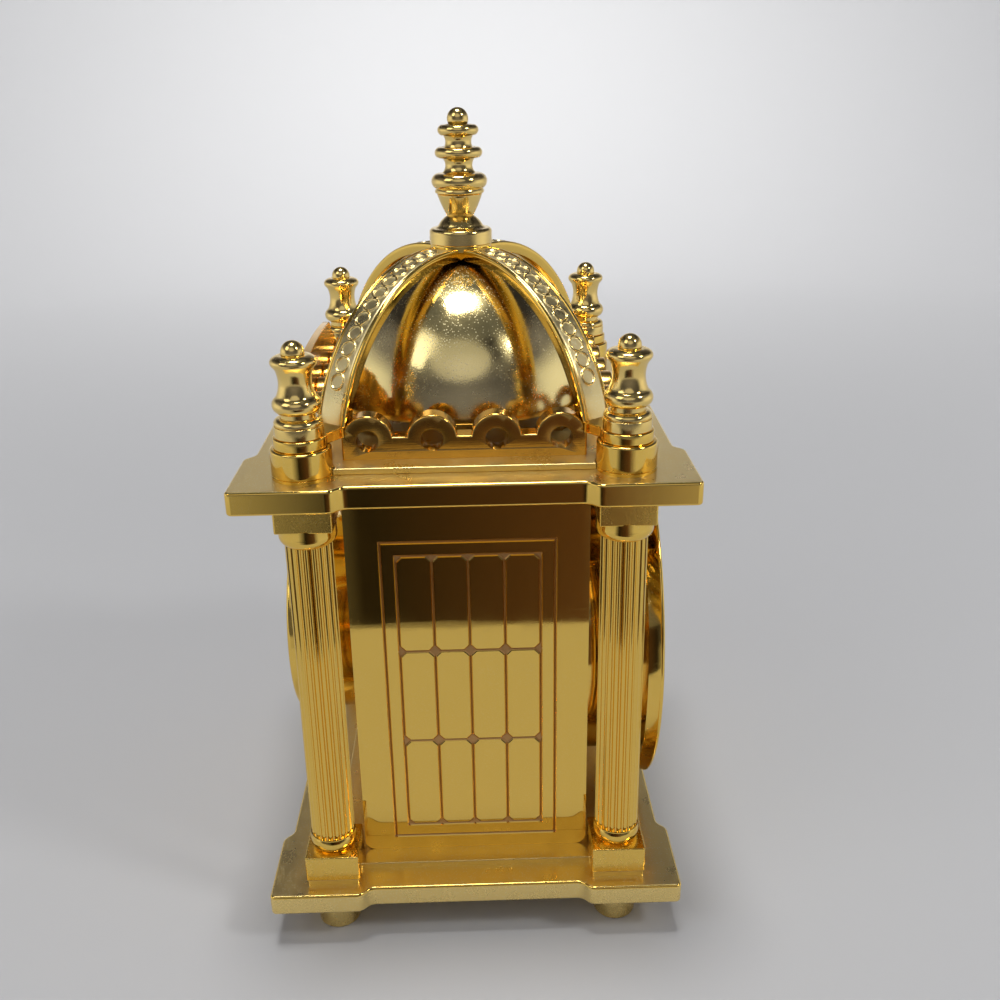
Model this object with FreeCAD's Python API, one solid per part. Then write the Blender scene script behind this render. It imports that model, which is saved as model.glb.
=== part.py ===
import FreeCAD, Part
import math
import os

# Miniature lantern clock in millimetres. X runs across the front, the dial faces -Y and Z is up.
# The origin is on the floor under the middle of the clock.
# Pieces on the dial's axis are drawn standing on a local Z axis that points out of the dial,
# and facing() turns that axis to -Y.

# Sizes of the plates and feet
plate_width = 64.0
plate_depth = 57.0
plate_thickness = 3.0
lobe_length = 12.5
lobe_step = 1.35
lobe_blend = 1.6
plate_corner_round = 0.75
plate_edge_round = 0.35
pad_width = 53.0
pad_depth = 40.6
pad_height = 0.8
pad_corner_side = 7.1
foot_height = 5.4
foot_radius = 2.95
foot_edge = 0.5

# Sizes of the columns and the rods inside them
column_spacing_x = 52.2
column_spacing_y = 39.8
column_height = 55.8
plinth_side = 7.4
plinth_height = 3.8
abacus_side = 7.2
abacus_height = 3.4
cushion_foot_radius = 2.6
cushion_radius = 3.15
cushion_height = 2.1
bead_radius = 3.1
bead_height = 0.25
capital_radius = 3.65
capital_height = 2.4
shaft_radius = 2.98
flute_count = 20
flute_radius = 0.37
flute_inset = 0.06
rod_radius = 1.2
rod_end_in_foot = 1.5
rod_end_in_finial = 3.75
rod_clearance = 0.05

# Sizes of the case box between the columns
side_panel_plane = 23.4
side_panel_depth = 31.8
front_panel_plane = 15.9
panel_thickness = 1.2
panel_foot_round = 1.5
panel_gap = 0.1
corner_post_side = 3.0
window_outer_width = 22.8
window_outer_height = 46.0
window_outer_low = 2.2
window_margin = 1.95
window_columns = 4
window_rows = 3
groove_width = 0.46
groove_depth = 0.22
pit_half = 1.1
pit_floor_half = 0.7
pit_depth = 0.22

# Sizes of the drums, the ring plate and the bell cage
drum_radius = 3.76
drum_height = 3.75
drum_edge = 0.3
drum_line_height = 0.44
drum_line_depth = 0.12
cage_ring_height = 0.8
cage_ring_width = 53.0
cage_ring_depth = 43.8
cage_ring_bore_radius = 18.4
strap_arc_offset = 4.16
strap_arc_drop = 0.47
strap_outer_radius = 24.13
strap_thickness = 1.6
strap_width = 4.5
lug_radius = 3.3
lug_thickness = 1.4
lug_edge = 0.2
boss_radius = 4.2
boss_height = 0.44
cage_gap = 0.1

# Sizes of the bell and what holds it
bell_radius = 18.3
bell_wall = 0.9
bell_gap = 0.05
bell_stud_radius = 1.2
bell_nut_radius = 3.0
bell_nut_height = 1.8
bell_stud_tail = 0.6
bell_stud_in_finial = 5.1

# Sizes of the frets and the crest
fret_thickness = 2.6
fret_end_thickness = 1.9
fret_plane_side = 23.3
fret_plane_end = 20.6
fret_hole_height = 2.4
fret_hole_radius = 1.42
fret_lobe_radius = 3.2
fret_valley_height = 2.85
fret_edge = 0.25
fret_side_pitch = 8.06
fret_side_lobes = 4
fret_end_pitch = 7.6
fret_end_lobes = 6
crest_thickness = 1.1
crest_low_height = 5.0
crest_shoulder_height = 9.7
crest_top_height = 10.3
crest_top_half = 13.7
crest_foot_half = 18.2

# Sizes of the turned finials, heights counted from the face that each stands on
finial_barrel_radius = 3.03
finial_barrel_top = 1.45
finial_collar_radius = 2.98
finial_collar_top = 1.9
finial_neck_radius = 2.15
finial_neck_height = 2.65
finial_bulge_radius = 3.0
finial_bulge_height = 3.95
finial_bulge_half = 0.95
finial_waist_radius = 2.05
finial_waist_height = 6.15
finial_flange_radius = 2.8
finial_flange_height = 9.2
finial_flange_half = 0.45
finial_ball_radius = 1.42
finial_ball_height = 10.23
spire_base_radius = 4.28
spire_base_height = 1.95
spire_cone_radius = 3.06
spire_cone_low = 2.25
spire_neck_radius = 1.83
spire_neck_height = 3.55
spire_cup_radius = 3.05
spire_cup_height = 6.35
spire_step_radius = 3.33
spire_step_height = 6.75
spire_wide_radius = 3.78
spire_wide_height = 8.1
spire_wide_half = 1.0
spire_upper_neck_radius = 1.84
spire_upper_neck_height = 9.95
spire_upper_ring_radius = 3.21
spire_upper_ring_height = 11.7
spire_upper_ring_half = 0.65
spire_top_neck_radius = 1.75
spire_top_neck_height = 13.1
spire_top_ring_radius = 2.74
spire_top_ring_height = 14.48
spire_top_ring_half = 0.62
spire_knob_radius = 1.42
spire_height = 17.4

# Sizes of the dial, counted outwards from the middle of the clock along the dial's axis
dial_case_radius = 22.3
dial_case_wall = 1.0
dial_ledge = 1.1
dial_case_rim = 23.8
dial_back = 20.6
dial_thickness = 0.6
dial_bore_radius = 3.4
dial_gap = 0.1
bezel_radius = 26.0
bezel_back_radius = 25.6
bezel_thickness = 2.1
bezel_opening_radius = 20.4
lens_radius = 21.4
lens_thickness = 1.1
hour_hand_front = 21.95
minute_hand_front = 22.6
second_hand_front = 23.2
hand_thickness = 0.25
hour_hand_length = 11.0
minute_hand_length = 15.8
second_hand_length = 17.0
hour_hand_waist = 0.7
hour_hand_width = 2.6
minute_hand_waist = 0.6
minute_hand_width = 1.9
second_hand_tail = 4.5
second_hand_tail_half = 0.3
second_hand_tip_half = 0.12
hand_hub_wall = 0.6
second_hub_wall = 0.5
shown_hour = 10
shown_minute = 9
shown_second = 36

# Sizes of the tube that holds the movement
case_radius = 14.0
case_wall = 0.8
case_front = 19.6
case_rear = -25.3
case_ledge = 0.8
case_hole_gap = 0.1
flange_radius = 17.6
flange_thickness = 0.8
flange_screw_circle = 16.0
flange_screw_count = 3
flange_screw_radius = 0.6
flange_screw_head = 1.1
flange_screw_head_height = 0.7
flange_screw_tail = 0.5
screw_slot_half = 0.15
screw_slot_floor = 0.4
rear_cap_radius = 15.05
rear_cap_face = -26.1
rear_cap_skirt = 9.9
rear_cap_wall = 0.8
rear_cap_edge = 0.5

# Sizes of the movement, stations counted along the dial's axis
main_plate_front = 15.7
main_plate_thickness = 0.8
rear_plate_front = 10.6
rear_plate_thickness = 0.8
movement_plate_gap = 0.1
pillar_radius = 0.95
pillar_circle = 11.3
pillar_angles = (-25.0, 20.0, 115.0, 240.0)
pillar_neck_radius = 0.45
pillar_head_radius = 0.85
pillar_head_height = 0.5
board_thickness = 0.7
crystal_radius = 0.75
crystal_length = 6.0
bush_radius = 3.0
bush_flange_radius = 4.2
bush_flange_thickness = 0.6
bush_front = 20.4
running_clearance = 0.05
second_arbor_radius = 0.4
minute_pipe_wall = 0.5
hour_pipe_wall = 0.5
gear_clearance = 0.3
motion_distance = 4.8
cannon_teeth = 12
minute_wheel_teeth = 36
minute_pinion_teeth = 10
hour_wheel_teeth = 40
setting_teeth = 12
intermediate_distance = 6.0
intermediate_angle = 60.0
second_wheel_teeth = 40
intermediate_pinion_teeth = 8
intermediate_wheel_teeth = 48
intermediate_module = 0.18
rotor_pinion_teeth = 8
rotor_angle = 150.0
rotor_radius = 1.6
rotor_height = 1.0
stator_thickness = 0.5
stator_gap = 0.4
stator_disc_radius = 3.0
stator_bar_width = 2.4
stator_bar_x = -5.0
coil_centre_x = -8.2
coil_radius = 1.6
coil_length = 11.0
coil_core_radius = 0.55
wheel_thickness = 0.5
arbor_radius = 0.35
setting_stem_radius = 0.8
setting_knob_radius = 2.5
setting_knob_height = 3.6
setting_knob_rear = -23.0
battery_radius = 6.0
battery_length = 30.2
battery_nub_radius = 1.9
battery_nub_height = 0.6
cell_holder_wall = 0.7
cell_holder_gap = 0.15
cell_holder_flange = 1.1
cell_holder_rear = -17.5
contact_thickness = 0.3
contact_rise = 1.5
contact_width = 2.4
contact_leg_x = 11.2

# Worked out places
base_bottom = foot_height
base_top = base_bottom + plate_thickness
pad_top = base_top + pad_height
top_bottom = pad_top + column_height
top_top = top_bottom + plate_thickness
cage_ring_top = top_top + cage_ring_height
drum_top = top_top + drum_height
lug_top = drum_top + lug_thickness
dial_height = 0.5 * (base_top + top_bottom)
column_x = 0.5 * column_spacing_x
column_y = 0.5 * column_spacing_y
corner_radius = math.hypot(column_x, column_y)
corner_angle = math.degrees(math.atan2(column_y, column_x))
rod_hole = rod_radius + rod_clearance
crown_top = top_top - strap_arc_drop + strap_outer_radius
crown_bottom = crown_top - strap_thickness
spire_foot = crown_top + boss_height
case_hole = case_radius + case_hole_gap
seconds_past_hour = 60 * shown_minute + shown_second
second_hand_angle = -6.0 * shown_second
minute_hand_angle = -seconds_past_hour / 10.0
hour_hand_angle = -30.0 * shown_hour - seconds_past_hour / 120.0

corners = (
    ("front_left", -1, -1),
    ("front_right", 1, -1),
    ("rear_left", -1, 1),
    ("rear_right", 1, 1),
)


# General helpers
def save(shape, node):
    if len(shape.Solids) == 1:
        shape = shape.Solids[0].removeSplitter()
    shape.exportStep("parts/" + node + ".step")
    print(node, "solids", len(shape.Solids), "volume", round(shape.Volume, 3), shape.isValid())


def rod(radius, low, high, x=0.0, y=0.0):
    return Part.makeCylinder(radius, high - low, FreeCAD.Vector(x, y, low))


def tube(outer, inner, low, high, x=0.0, y=0.0):
    return rod(outer, low, high, x, y).cut(rod(inner, low - 1.0, high + 1.0, x, y))


def block(x_low, x_high, y_low, y_high, z_low, z_high):
    corner = FreeCAD.Vector(x_low, y_low, z_low)
    return Part.makeBox(x_high - x_low, y_high - y_low, z_high - z_low, corner)


def moved(shape, x=0.0, y=0.0, z=0.0):
    copy = shape.copy()
    copy.translate(FreeCAD.Vector(x, y, z))
    return copy


def turned_about_z(shape, angle, x=0.0, y=0.0):
    copy = shape.copy()
    copy.rotate(FreeCAD.Vector(x, y, 0), FreeCAD.Vector(0, 0, 1), angle)
    return copy


def facing(shape):
    """Lay a piece drawn on the local axis along the dial's axis, at the dial's height."""
    copy = shape.copy()
    copy.rotate(FreeCAD.Vector(0, 0, 0), FreeCAD.Vector(1, 0, 0), 90)
    copy.translate(FreeCAD.Vector(0, 0, dial_height))
    return copy


def joined(shapes):
    first = shapes[0]
    return first.multiFuse(shapes[1:]) if len(shapes) > 1 else first


def outline(start, steps):
    """Closed wire in the XZ plane. A step is a point, or a pair: a point on an arc and its end."""
    edges = []
    here = FreeCAD.Vector(start[0], 0, start[1])
    for step in steps:
        if isinstance(step[0], tuple):
            middle = FreeCAD.Vector(step[0][0], 0, step[0][1])
            end = FreeCAD.Vector(step[1][0], 0, step[1][1])
            edges.append(Part.Arc(here, middle, end).toShape())
        else:
            end = FreeCAD.Vector(step[0], 0, step[1])
            edges.append(Part.LineSegment(here, end).toShape())
        here = end
    edges.append(Part.LineSegment(here, FreeCAD.Vector(start[0], 0, start[1])).toShape())
    return Part.Wire(edges)


def revolved(start, steps):
    face = Part.Face(outline(start, steps))
    return face.revolve(FreeCAD.Vector(0, 0, 0), FreeCAD.Vector(0, 0, 1), 360)


def prism(points, low, high):
    """Upright prism on a polygon of (x, y) points."""
    loop = [FreeCAD.Vector(x, y, low) for x, y in points]
    face = Part.Face(Part.makePolygon(loop + [loop[0]]))
    return face.extrude(FreeCAD.Vector(0, 0, high - low))


def polar(radius, angle):
    return radius * math.cos(math.radians(angle)), radius * math.sin(math.radians(angle))


def edges_at_height(shape, height):
    found = []
    for edge in shape.Edges:
        box = edge.BoundBox
        if abs(box.ZMin - height) < 1e-4 and abs(box.ZMax - height) < 1e-4:
            found.append(edge)
    return found


def rounded_prism(corners, low, high):
    """Upright prism on a polygon of (x, y, radius) corners, each rounded by an arc."""
    spots = [FreeCAD.Vector(x, y, low) for x, y, radius in corners]
    arcs = []
    for number, (x, y, radius) in enumerate(corners):
        corner = spots[number]
        back = (spots[number - 1] - corner).normalize()
        ahead = (spots[(number + 1) % len(spots)] - corner).normalize()
        half = 0.5 * back.getAngle(ahead)
        reach = radius / math.tan(half)
        inward = (back + ahead).normalize()
        middle = corner + inward * (radius / math.sin(half) - radius)
        arcs.append((corner + back * reach, middle, corner + ahead * reach))
    edges = []
    for number, (start, middle, end) in enumerate(arcs):
        edges.append(Part.Arc(start, middle, end).toShape())
        edges.append(Part.LineSegment(end, arcs[(number + 1) % len(arcs)][0]).toShape())
    return Part.Face(Part.Wire(edges)).extrude(FreeCAD.Vector(0, 0, high - low))


def hexagon(across_corners, low, high):
    return prism([polar(across_corners, 60 * turn) for turn in range(6)], low, high)


def gear(teeth, module, low, high, tooth_angle):
    """Spur gear about the local axis, with one tooth centred at tooth_angle."""
    pitch_radius = 0.5 * teeth * module
    base_radius = pitch_radius * math.cos(math.radians(20))
    root_radius = pitch_radius - 1.2 * module
    tip_radius = pitch_radius + 0.8 * module
    involute_at_pitch = math.tan(math.radians(20)) - math.radians(20)
    half_tooth = math.pi / (2 * teeth) * (1 - gear_clearance * 0.5) + involute_at_pitch
    flank = []
    for step in range(4):
        radius = max(base_radius, root_radius) + (tip_radius - max(base_radius, root_radius)) * step / 3
        pressure = math.acos(min(1.0, base_radius / radius))
        flank.append((radius, half_tooth - (math.tan(pressure) - pressure)))
    flank.insert(0, (root_radius, flank[0][1]))
    points = []
    for tooth in range(teeth):
        centre = math.radians(tooth_angle) + 2 * math.pi * tooth / teeth
        for radius, half in flank:
            points.append((radius * math.cos(centre - half), radius * math.sin(centre - half)))
        for radius, half in reversed(flank):
            points.append((radius * math.cos(centre + half), radius * math.sin(centre + half)))
    return prism(points, low, high)


# Plates and feet
def lobed_plate(low):
    half_x = 0.5 * plate_width
    half_y = 0.5 * plate_depth
    inner_x = half_x - lobe_length
    inner_y = half_y - lobe_length
    quarter = [
        (inner_x - lobe_step, half_y - lobe_step, lobe_blend),
        (inner_x, half_y, lobe_blend),
        (half_x, half_y, plate_corner_round),
        (half_x, inner_y, lobe_blend),
        (half_x - lobe_step, inner_y - lobe_step, lobe_blend),
    ]
    points = quarter
    points = points + [(x, -y, radius) for x, y, radius in reversed(quarter)]
    points = points + [(-x, -y, radius) for x, y, radius in quarter]
    points = points + [(-x, y, radius) for x, y, radius in reversed(quarter)]
    plate = rounded_prism(points, low, low + plate_thickness)
    return plate.makeFillet(plate_edge_round, edges_at_height(plate, low + plate_thickness))


def rod_holes(low, high):
    return [rod(rod_hole, low, high, sx * column_x, sy * column_y) for name, sx, sy in corners]


def base_plate():
    plate = lobed_plate(base_bottom)
    half_x = 0.5 * pad_width
    half_y = 0.5 * pad_depth
    pieces = [plate, block(-half_x, half_x, -half_y, half_y, base_top - 0.5, pad_top)]
    reach = 0.5 * pad_corner_side
    for name, sx, sy in corners:
        x = sx * column_x
        y = sy * column_y
        pieces.append(block(x - reach, x + reach, y - reach, y + reach, base_top - 0.5, pad_top))
    return joined(pieces).cut(Part.makeCompound(rod_holes(base_bottom - 1.0, pad_top + 1.0)))


def top_plate():
    plate = lobed_plate(top_bottom)
    return plate.cut(Part.makeCompound(rod_holes(top_bottom - 1.0, top_top + 1.0)))


def at_corners(shape, height=0.0):
    """Four copies of a piece, one on each column's axis."""
    return Part.makeCompound([moved(shape, sx * column_x, sy * column_y, height) for name, sx, sy in corners])


def foot():
    body = revolved((0, 0), [
        (foot_radius - foot_edge, 0),
        ((foot_radius - 0.29 * foot_edge, 0.29 * foot_edge), (foot_radius, foot_edge)),
        (foot_radius, foot_height),
        (0, foot_height),
    ])
    return body.cut(rod(rod_hole, rod_end_in_foot, foot_height + 1.0))


# Columns
def column():
    plinth_top = plinth_height
    cushion_top = plinth_top + cushion_height
    bead_top = cushion_top + bead_height
    abacus_low = column_height - abacus_height
    capital_low = abacus_low - capital_height
    half = 0.5 * plinth_side
    plinth = block(-half, half, -half, half, 0, plinth_top)
    plinth = plinth.makeFillet(0.2, edges_at_height(plinth, plinth_top))
    half = 0.5 * abacus_side
    abacus = block(-half, half, -half, half, abacus_low, column_height)
    abacus = abacus.makeFillet(0.2, edges_at_height(abacus, abacus_low))
    stem = revolved((0, plinth_top - 0.5), [
        (cushion_foot_radius, plinth_top - 0.5),
        (cushion_foot_radius, plinth_top),
        ((cushion_radius, plinth_top + 0.45 * cushion_height), (shaft_radius - 0.03, cushion_top)),
        (bead_radius, cushion_top),
        (bead_radius, bead_top),
        (shaft_radius, bead_top),
        (shaft_radius, capital_low),
        ((0.3 * shaft_radius + 0.7 * capital_radius, capital_low + 0.18 * capital_height),
         (capital_radius, capital_low + 0.62 * capital_height)),
        (capital_radius, abacus_low + 0.5),
        (0, abacus_low + 0.5),
    ])
    flutes = []
    for number in range(flute_count):
        x, y = polar(shaft_radius + flute_inset, 360.0 * number / flute_count)
        flutes.append(rod(flute_radius, bead_top, capital_low, x, y))
    stem = stem.cut(Part.makeCompound(flutes))
    whole = joined([plinth, stem, abacus])
    return whole.cut(rod(rod_hole, -1.0, column_height + 1.0))


def tie_rod():
    return rod(rod_radius, rod_end_in_foot + 0.2, lug_top + rod_end_in_finial - 0.3)


# Case box
def groove(start, end):
    """V cut in the face x = side_panel_plane along a line between two (y, z) points."""
    length = math.hypot(end[0] - start[0], end[1] - start[1])
    along = FreeCAD.Vector(0, (end[0] - start[0]) / length, (end[1] - start[1]) / length)
    across = FreeCAD.Vector(0, -along.z, along.y)
    lift = 0.1
    half = 0.5 * groove_width * (1 + lift / groove_depth)
    origin = FreeCAD.Vector(side_panel_plane, start[0], start[1]) - along * (0.5 * groove_width)
    high = origin + FreeCAD.Vector(lift, 0, 0)
    low = origin - FreeCAD.Vector(groove_depth, 0, 0)
    loop = Part.makePolygon([high + across * half, high - across * half, low, high + across * half])
    return Part.Face(loop).extrude(along * (length + groove_width))


def pit(y, z):
    """Flat-bottomed diamond pit in the face x = side_panel_plane."""
    lift = 0.1
    rings = []
    high_half = pit_half + lift * (pit_half - pit_floor_half) / pit_depth
    for x, half in ((side_panel_plane + lift, high_half), (side_panel_plane - pit_depth, pit_floor_half)):
        rings.append([
            FreeCAD.Vector(x, y + half, z),
            FreeCAD.Vector(x, y, z + half),
            FreeCAD.Vector(x, y - half, z),
            FreeCAD.Vector(x, y, z - half),
        ])
    high, low = rings
    faces = [Part.Face(Part.makePolygon(ring + [ring[0]])) for ring in rings]
    for number in range(4):
        after = (number + 1) % 4
        loop = [high[number], high[after], low[after], low[number], high[number]]
        faces.append(Part.Face(Part.makePolygon(loop)))
    return Part.Solid(Part.Shell(faces))


def window_frames():
    """Half width, low and high edge of the outer and the inner frame line."""
    low = pad_top + window_outer_low
    high = low + window_outer_height
    half = 0.5 * window_outer_width
    return (half, low, high), (half - window_margin, low + window_margin, high - window_margin)


def window_lines():
    frames = window_frames()
    inner = frames[1][0]
    lines = []
    for reach, bottom, top in frames:
        lines.append(((-reach, bottom), (reach, bottom)))
        lines.append(((-reach, top), (reach, top)))
        lines.append(((-reach, bottom), (-reach, top)))
        lines.append(((reach, bottom), (reach, top)))
    bottom = frames[1][1]
    top = frames[1][2]
    uprights = [inner * (2.0 * number / window_columns - 1.0) for number in range(window_columns + 1)]
    rails = [bottom + (top - bottom) * number / window_rows for number in range(window_rows + 1)]
    for y in uprights[1:-1]:
        lines.append(((y, bottom), (y, top)))
    for z in rails[1:-1]:
        lines.append(((-inner, z), (inner, z)))
    crossings = [(y, z) for y in uprights for z in rails]
    return lines, crossings


def side_panel():
    half = 0.5 * side_panel_depth
    inner = side_panel_plane - panel_thickness
    panel = block(inner, side_panel_plane, -half, half, pad_top, top_bottom)
    rounded = []
    for edge in panel.Edges:
        box = edge.BoundBox
        if box.YLength < 1e-4 and box.ZLength < 1e-4 and box.ZMin < pad_top + 1e-3:
            rounded.append(edge)
    panel = panel.makeFillet(panel_foot_round, rounded)
    lines, crossings = window_lines()
    for start, end in lines:
        panel = panel.cut(groove(start, end))
    reach, bottom, top = window_frames()[1]
    inside = block(inner, side_panel_plane + 1.0, -reach, reach, bottom, top)
    for y, z in crossings:
        panel = panel.cut(pit(y, z).common(inside))
    return panel


def end_panel(side):
    """Front or rear panel, between the side panels. side is -1 in front and 1 at the back."""
    half = side_panel_plane - panel_thickness - panel_gap
    outer = side * front_panel_plane
    inner = side * (front_panel_plane - panel_thickness)
    panel = block(-half, half, min(outer, inner), max(outer, inner), pad_top, top_bottom)
    low = -front_panel_plane - 1.0
    panel = panel.cut(facing(rod(case_hole, low, -low)))
    if side < 0:
        panel = panel.cut(facing(flange_screw_shanks(flange_screw_radius + 0.05)))
    return panel


def corner_posts():
    x = side_panel_plane - panel_thickness
    y = front_panel_plane - panel_thickness
    posts = []
    for name, sx, sy in corners:
        near_x = sx * (x - corner_post_side)
        near_y = sy * (y - corner_post_side)
        x_low, x_high = sorted((near_x, sx * x))
        y_low, y_high = sorted((near_y, sy * y))
        posts.append(block(x_low, x_high, y_low, y_high, pad_top, top_bottom))
    return Part.makeCompound(posts)


# Drums, ring plate and bell cage
def drum():
    line_low = drum_line_height - drum_line_depth
    line_high = drum_line_height + drum_line_depth
    round_start = drum_height - drum_edge
    body = revolved((0, 0), [
        (drum_radius, 0),
        (drum_radius, line_low),
        (drum_radius - drum_line_depth, drum_line_height),
        (drum_radius, line_high),
        (drum_radius, round_start),
        ((drum_radius - 0.29 * drum_edge, drum_height - 0.29 * drum_edge),
         (drum_radius - drum_edge, drum_height)),
        (0, drum_height),
    ])
    return body.cut(rod(rod_hole, -1.0, drum_height + 1.0))


def cage_ring():
    """Flat plate under the bell, notched round the drums."""
    half_x = 0.5 * cage_ring_width
    half_y = 0.5 * cage_ring_depth
    ring = block(-half_x, half_x, -half_y, half_y, top_top, cage_ring_top)
    ring = ring.cut(rod(cage_ring_bore_radius, top_top - 1.0, cage_ring_top + 1.0))
    for name, sx, sy in corners:
        x_low, x_high = sorted((sx * column_x, sx * cage_ring_width))
        y_low, y_high = sorted((sy * column_y, sy * cage_ring_depth))
        ring = ring.cut(block(x_low, x_high, y_low, y_high, top_top - 1.0, cage_ring_top + 1.0))
    room = [rod(drum_radius + rod_clearance, top_top - 1.0, cage_ring_top + 1.0, sx * column_x, sy * column_y)
            for name, sx, sy in corners]
    return ring.cut(Part.makeCompound(room))


def strap_reach(radius, height):
    """Distance from the clock's axis to a strap's arc of that radius, at a height."""
    drop = height - (crown_top - strap_outer_radius)
    return strap_arc_offset + math.sqrt(radius * radius - drop * drop)


def strap_band(room):
    """Quarter arc along +X from the crown down to the drum's top, grown by room on all sides."""
    centre_z = crown_top - strap_outer_radius
    outer_radius = strap_outer_radius + room
    inner_radius = strap_outer_radius - strap_thickness - room
    low = drum_top - room
    high = math.sqrt(0.5)
    wire = outline((0, centre_z + outer_radius), [
        (strap_arc_offset, centre_z + outer_radius),
        ((strap_arc_offset + high * outer_radius, centre_z + high * outer_radius),
         (strap_reach(outer_radius, low), low)),
        (strap_reach(inner_radius, low), low),
        ((strap_arc_offset + high * inner_radius, centre_z + high * inner_radius),
         (strap_arc_offset, centre_z + inner_radius)),
        (0, centre_z + inner_radius),
    ])
    width = strap_width + 2 * room
    band = Part.Face(wire).extrude(FreeCAD.Vector(0, width, 0))
    return moved(band, 0, -0.5 * width)


def strap():
    """One strap along +X with the lug at its foot, whose round eye lies on the corner drum."""
    half = 0.5 * strap_width
    inside = strap_reach(strap_outer_radius - 0.5 * strap_thickness, lug_top)
    bar = block(inside, corner_radius, -half, half, drum_top, lug_top)
    eye = rod(lug_radius, drum_top, lug_top, corner_radius)
    eye = eye.makeFillet(lug_edge, edges_at_height(eye, lug_top))
    return joined([strap_band(0), bar, eye])


def corner_angles():
    return (corner_angle, 180 - corner_angle, 180 + corner_angle, -corner_angle)


def bell_cage():
    """Four crossed straps in one piece, with the boss that the spire stands on."""
    pieces = [turned_about_z(strap(), angle) for angle in corner_angles()]
    pieces.append(rod(boss_radius, crown_bottom + 0.5 * strap_thickness, spire_foot))
    cage = joined(pieces).cut(Part.makeCompound(rod_holes(drum_top - 1.0, lug_top + 1.0)))
    return cage.cut(rod(bell_stud_radius + rod_clearance, crown_bottom - 1.0, spire_foot + 1.0))


def clear_of_cage(shape):
    """Cut away from a fret or the crest what straps, lugs and drums need."""
    inner_x = strap_reach(strap_outer_radius - 0.5 * strap_thickness, lug_top)
    half = 0.5 * strap_width + cage_gap
    above_lug = block(inner_x, corner_radius, -half, half, drum_top - cage_gap, crown_top)
    for angle in corner_angles():
        shape = shape.cut(turned_about_z(above_lug, angle))
        shape = shape.cut(turned_about_z(strap_band(cage_gap), angle))
    for name, sx, sy in corners:
        shape = shape.cut(rod(drum_radius + cage_gap, top_top, crown_top, sx * column_x, sy * column_y))
    return shape


# Bell and its fastening
def bell():
    centre_z = crown_bottom - bell_gap - bell_radius
    inner = bell_radius - bell_wall
    high = math.sqrt(0.5)
    dome = revolved((bell_radius, centre_z), [
        ((high * bell_radius, centre_z + high * bell_radius), (0, centre_z + bell_radius)),
        (0, centre_z + inner),
        ((high * inner, centre_z + high * inner), (inner, centre_z)),
    ])
    dome = dome.makeFillet(0.3 * bell_wall, edges_at_height(dome, centre_z))
    return dome.cut(rod(bell_stud_radius + rod_clearance, centre_z, crown_bottom + 1.0))


def bell_seat():
    """Height at which a flat nut meets the inside of the dome."""
    inner = bell_radius - bell_wall
    drop = inner - math.sqrt(inner * inner - bell_nut_radius * bell_nut_radius)
    return crown_bottom - bell_gap - bell_wall - drop - 0.02


def bell_nut():
    top = bell_seat()
    nut = hexagon(bell_nut_radius, top - bell_nut_height, top)
    return nut.cut(rod(bell_stud_radius + rod_clearance, top - bell_nut_height - 1.0, top + 1.0))


def bell_stud():
    low = bell_seat() - bell_nut_height - bell_stud_tail
    return rod(bell_stud_radius, low, spire_foot + bell_stud_in_finial - 0.3)


# Frets and crest
def fret_strip(lobes, pitch, thickness):
    """Scalloped strip standing on z = 0, long in X, its outer face at y = 0."""
    reach = 0.5 * (lobes - 1) * pitch
    end = reach + fret_lobe_radius
    pieces = [block(-end, end, 0, thickness, 0, fret_valley_height)]
    centres = [-reach + pitch * number for number in range(lobes)]
    turn = FreeCAD.Vector(0, 1, 0)
    for x in centres:
        corner = FreeCAD.Vector(x, 0, fret_hole_height)
        pieces.append(Part.makeCylinder(fret_lobe_radius, thickness, corner, turn))
    strip = joined(pieces)
    below = block(-end - 1.0, end + 1.0, -1.0, thickness + 1.0, -fret_lobe_radius, 0)
    strip = strip.cut(below).removeSplitter()
    outer = []
    for edge in strip.Edges:
        box = edge.BoundBox
        if box.YMax < 1e-4 and box.ZMax > 1e-3:
            outer.append(edge)
    strip = strip.makeFillet(fret_edge, outer)
    for x in centres:
        corner = FreeCAD.Vector(x, -1.0, fret_hole_height)
        strip = strip.cut(Part.makeCylinder(fret_hole_radius, thickness + 2.0, corner, turn))
    return strip


def side_fret(side):
    strip = fret_strip(fret_side_lobes, fret_side_pitch, fret_thickness)
    strip = turned_about_z(strip, 90 * side)
    strip = moved(strip, side * fret_plane_side, 0, cage_ring_top)
    return clear_of_cage(strip)


def end_fret(side):
    strip = fret_strip(fret_end_lobes, fret_end_pitch, fret_end_thickness)
    strip = turned_about_z(strip, 0 if side < 0 else 180)
    strip = moved(strip, 0, side * fret_plane_end, cage_ring_top)
    return clear_of_cage(strip)


def rear_crest():
    """Plain arched plate behind the rear fret, hollowed on both shoulders."""
    half = 0.5 * cage_ring_width - drum_radius
    foot = crest_low_height + 2.0
    step_x = crest_foot_half + 0.3 * (half - crest_foot_half)
    hollow_x = 0.5 * (crest_foot_half + crest_top_half) - 0.2
    hollow_z = 0.6 * foot + 0.4 * crest_shoulder_height
    wire = outline((-half, 0), [
        (half, 0),
        (half, crest_low_height),
        ((step_x, crest_low_height + 0.5), (crest_foot_half, foot)),
        ((hollow_x, hollow_z), (crest_top_half, crest_shoulder_height)),
        ((0, crest_top_height), (-crest_top_half, crest_shoulder_height)),
        ((-hollow_x, hollow_z), (-crest_foot_half, foot)),
        ((-step_x, crest_low_height + 0.5), (-half, crest_low_height)),
    ])
    plate = Part.Face(wire).extrude(FreeCAD.Vector(0, crest_thickness, 0))
    return clear_of_cage(moved(plate, 0, fret_plane_end, cage_ring_top))


# Turned finials
def on_ball(radius, centre, height):
    """Point of a ball's outline at a height, the ball standing at its centre's height."""
    return math.sqrt(radius * radius - (height - centre) ** 2), height


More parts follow.
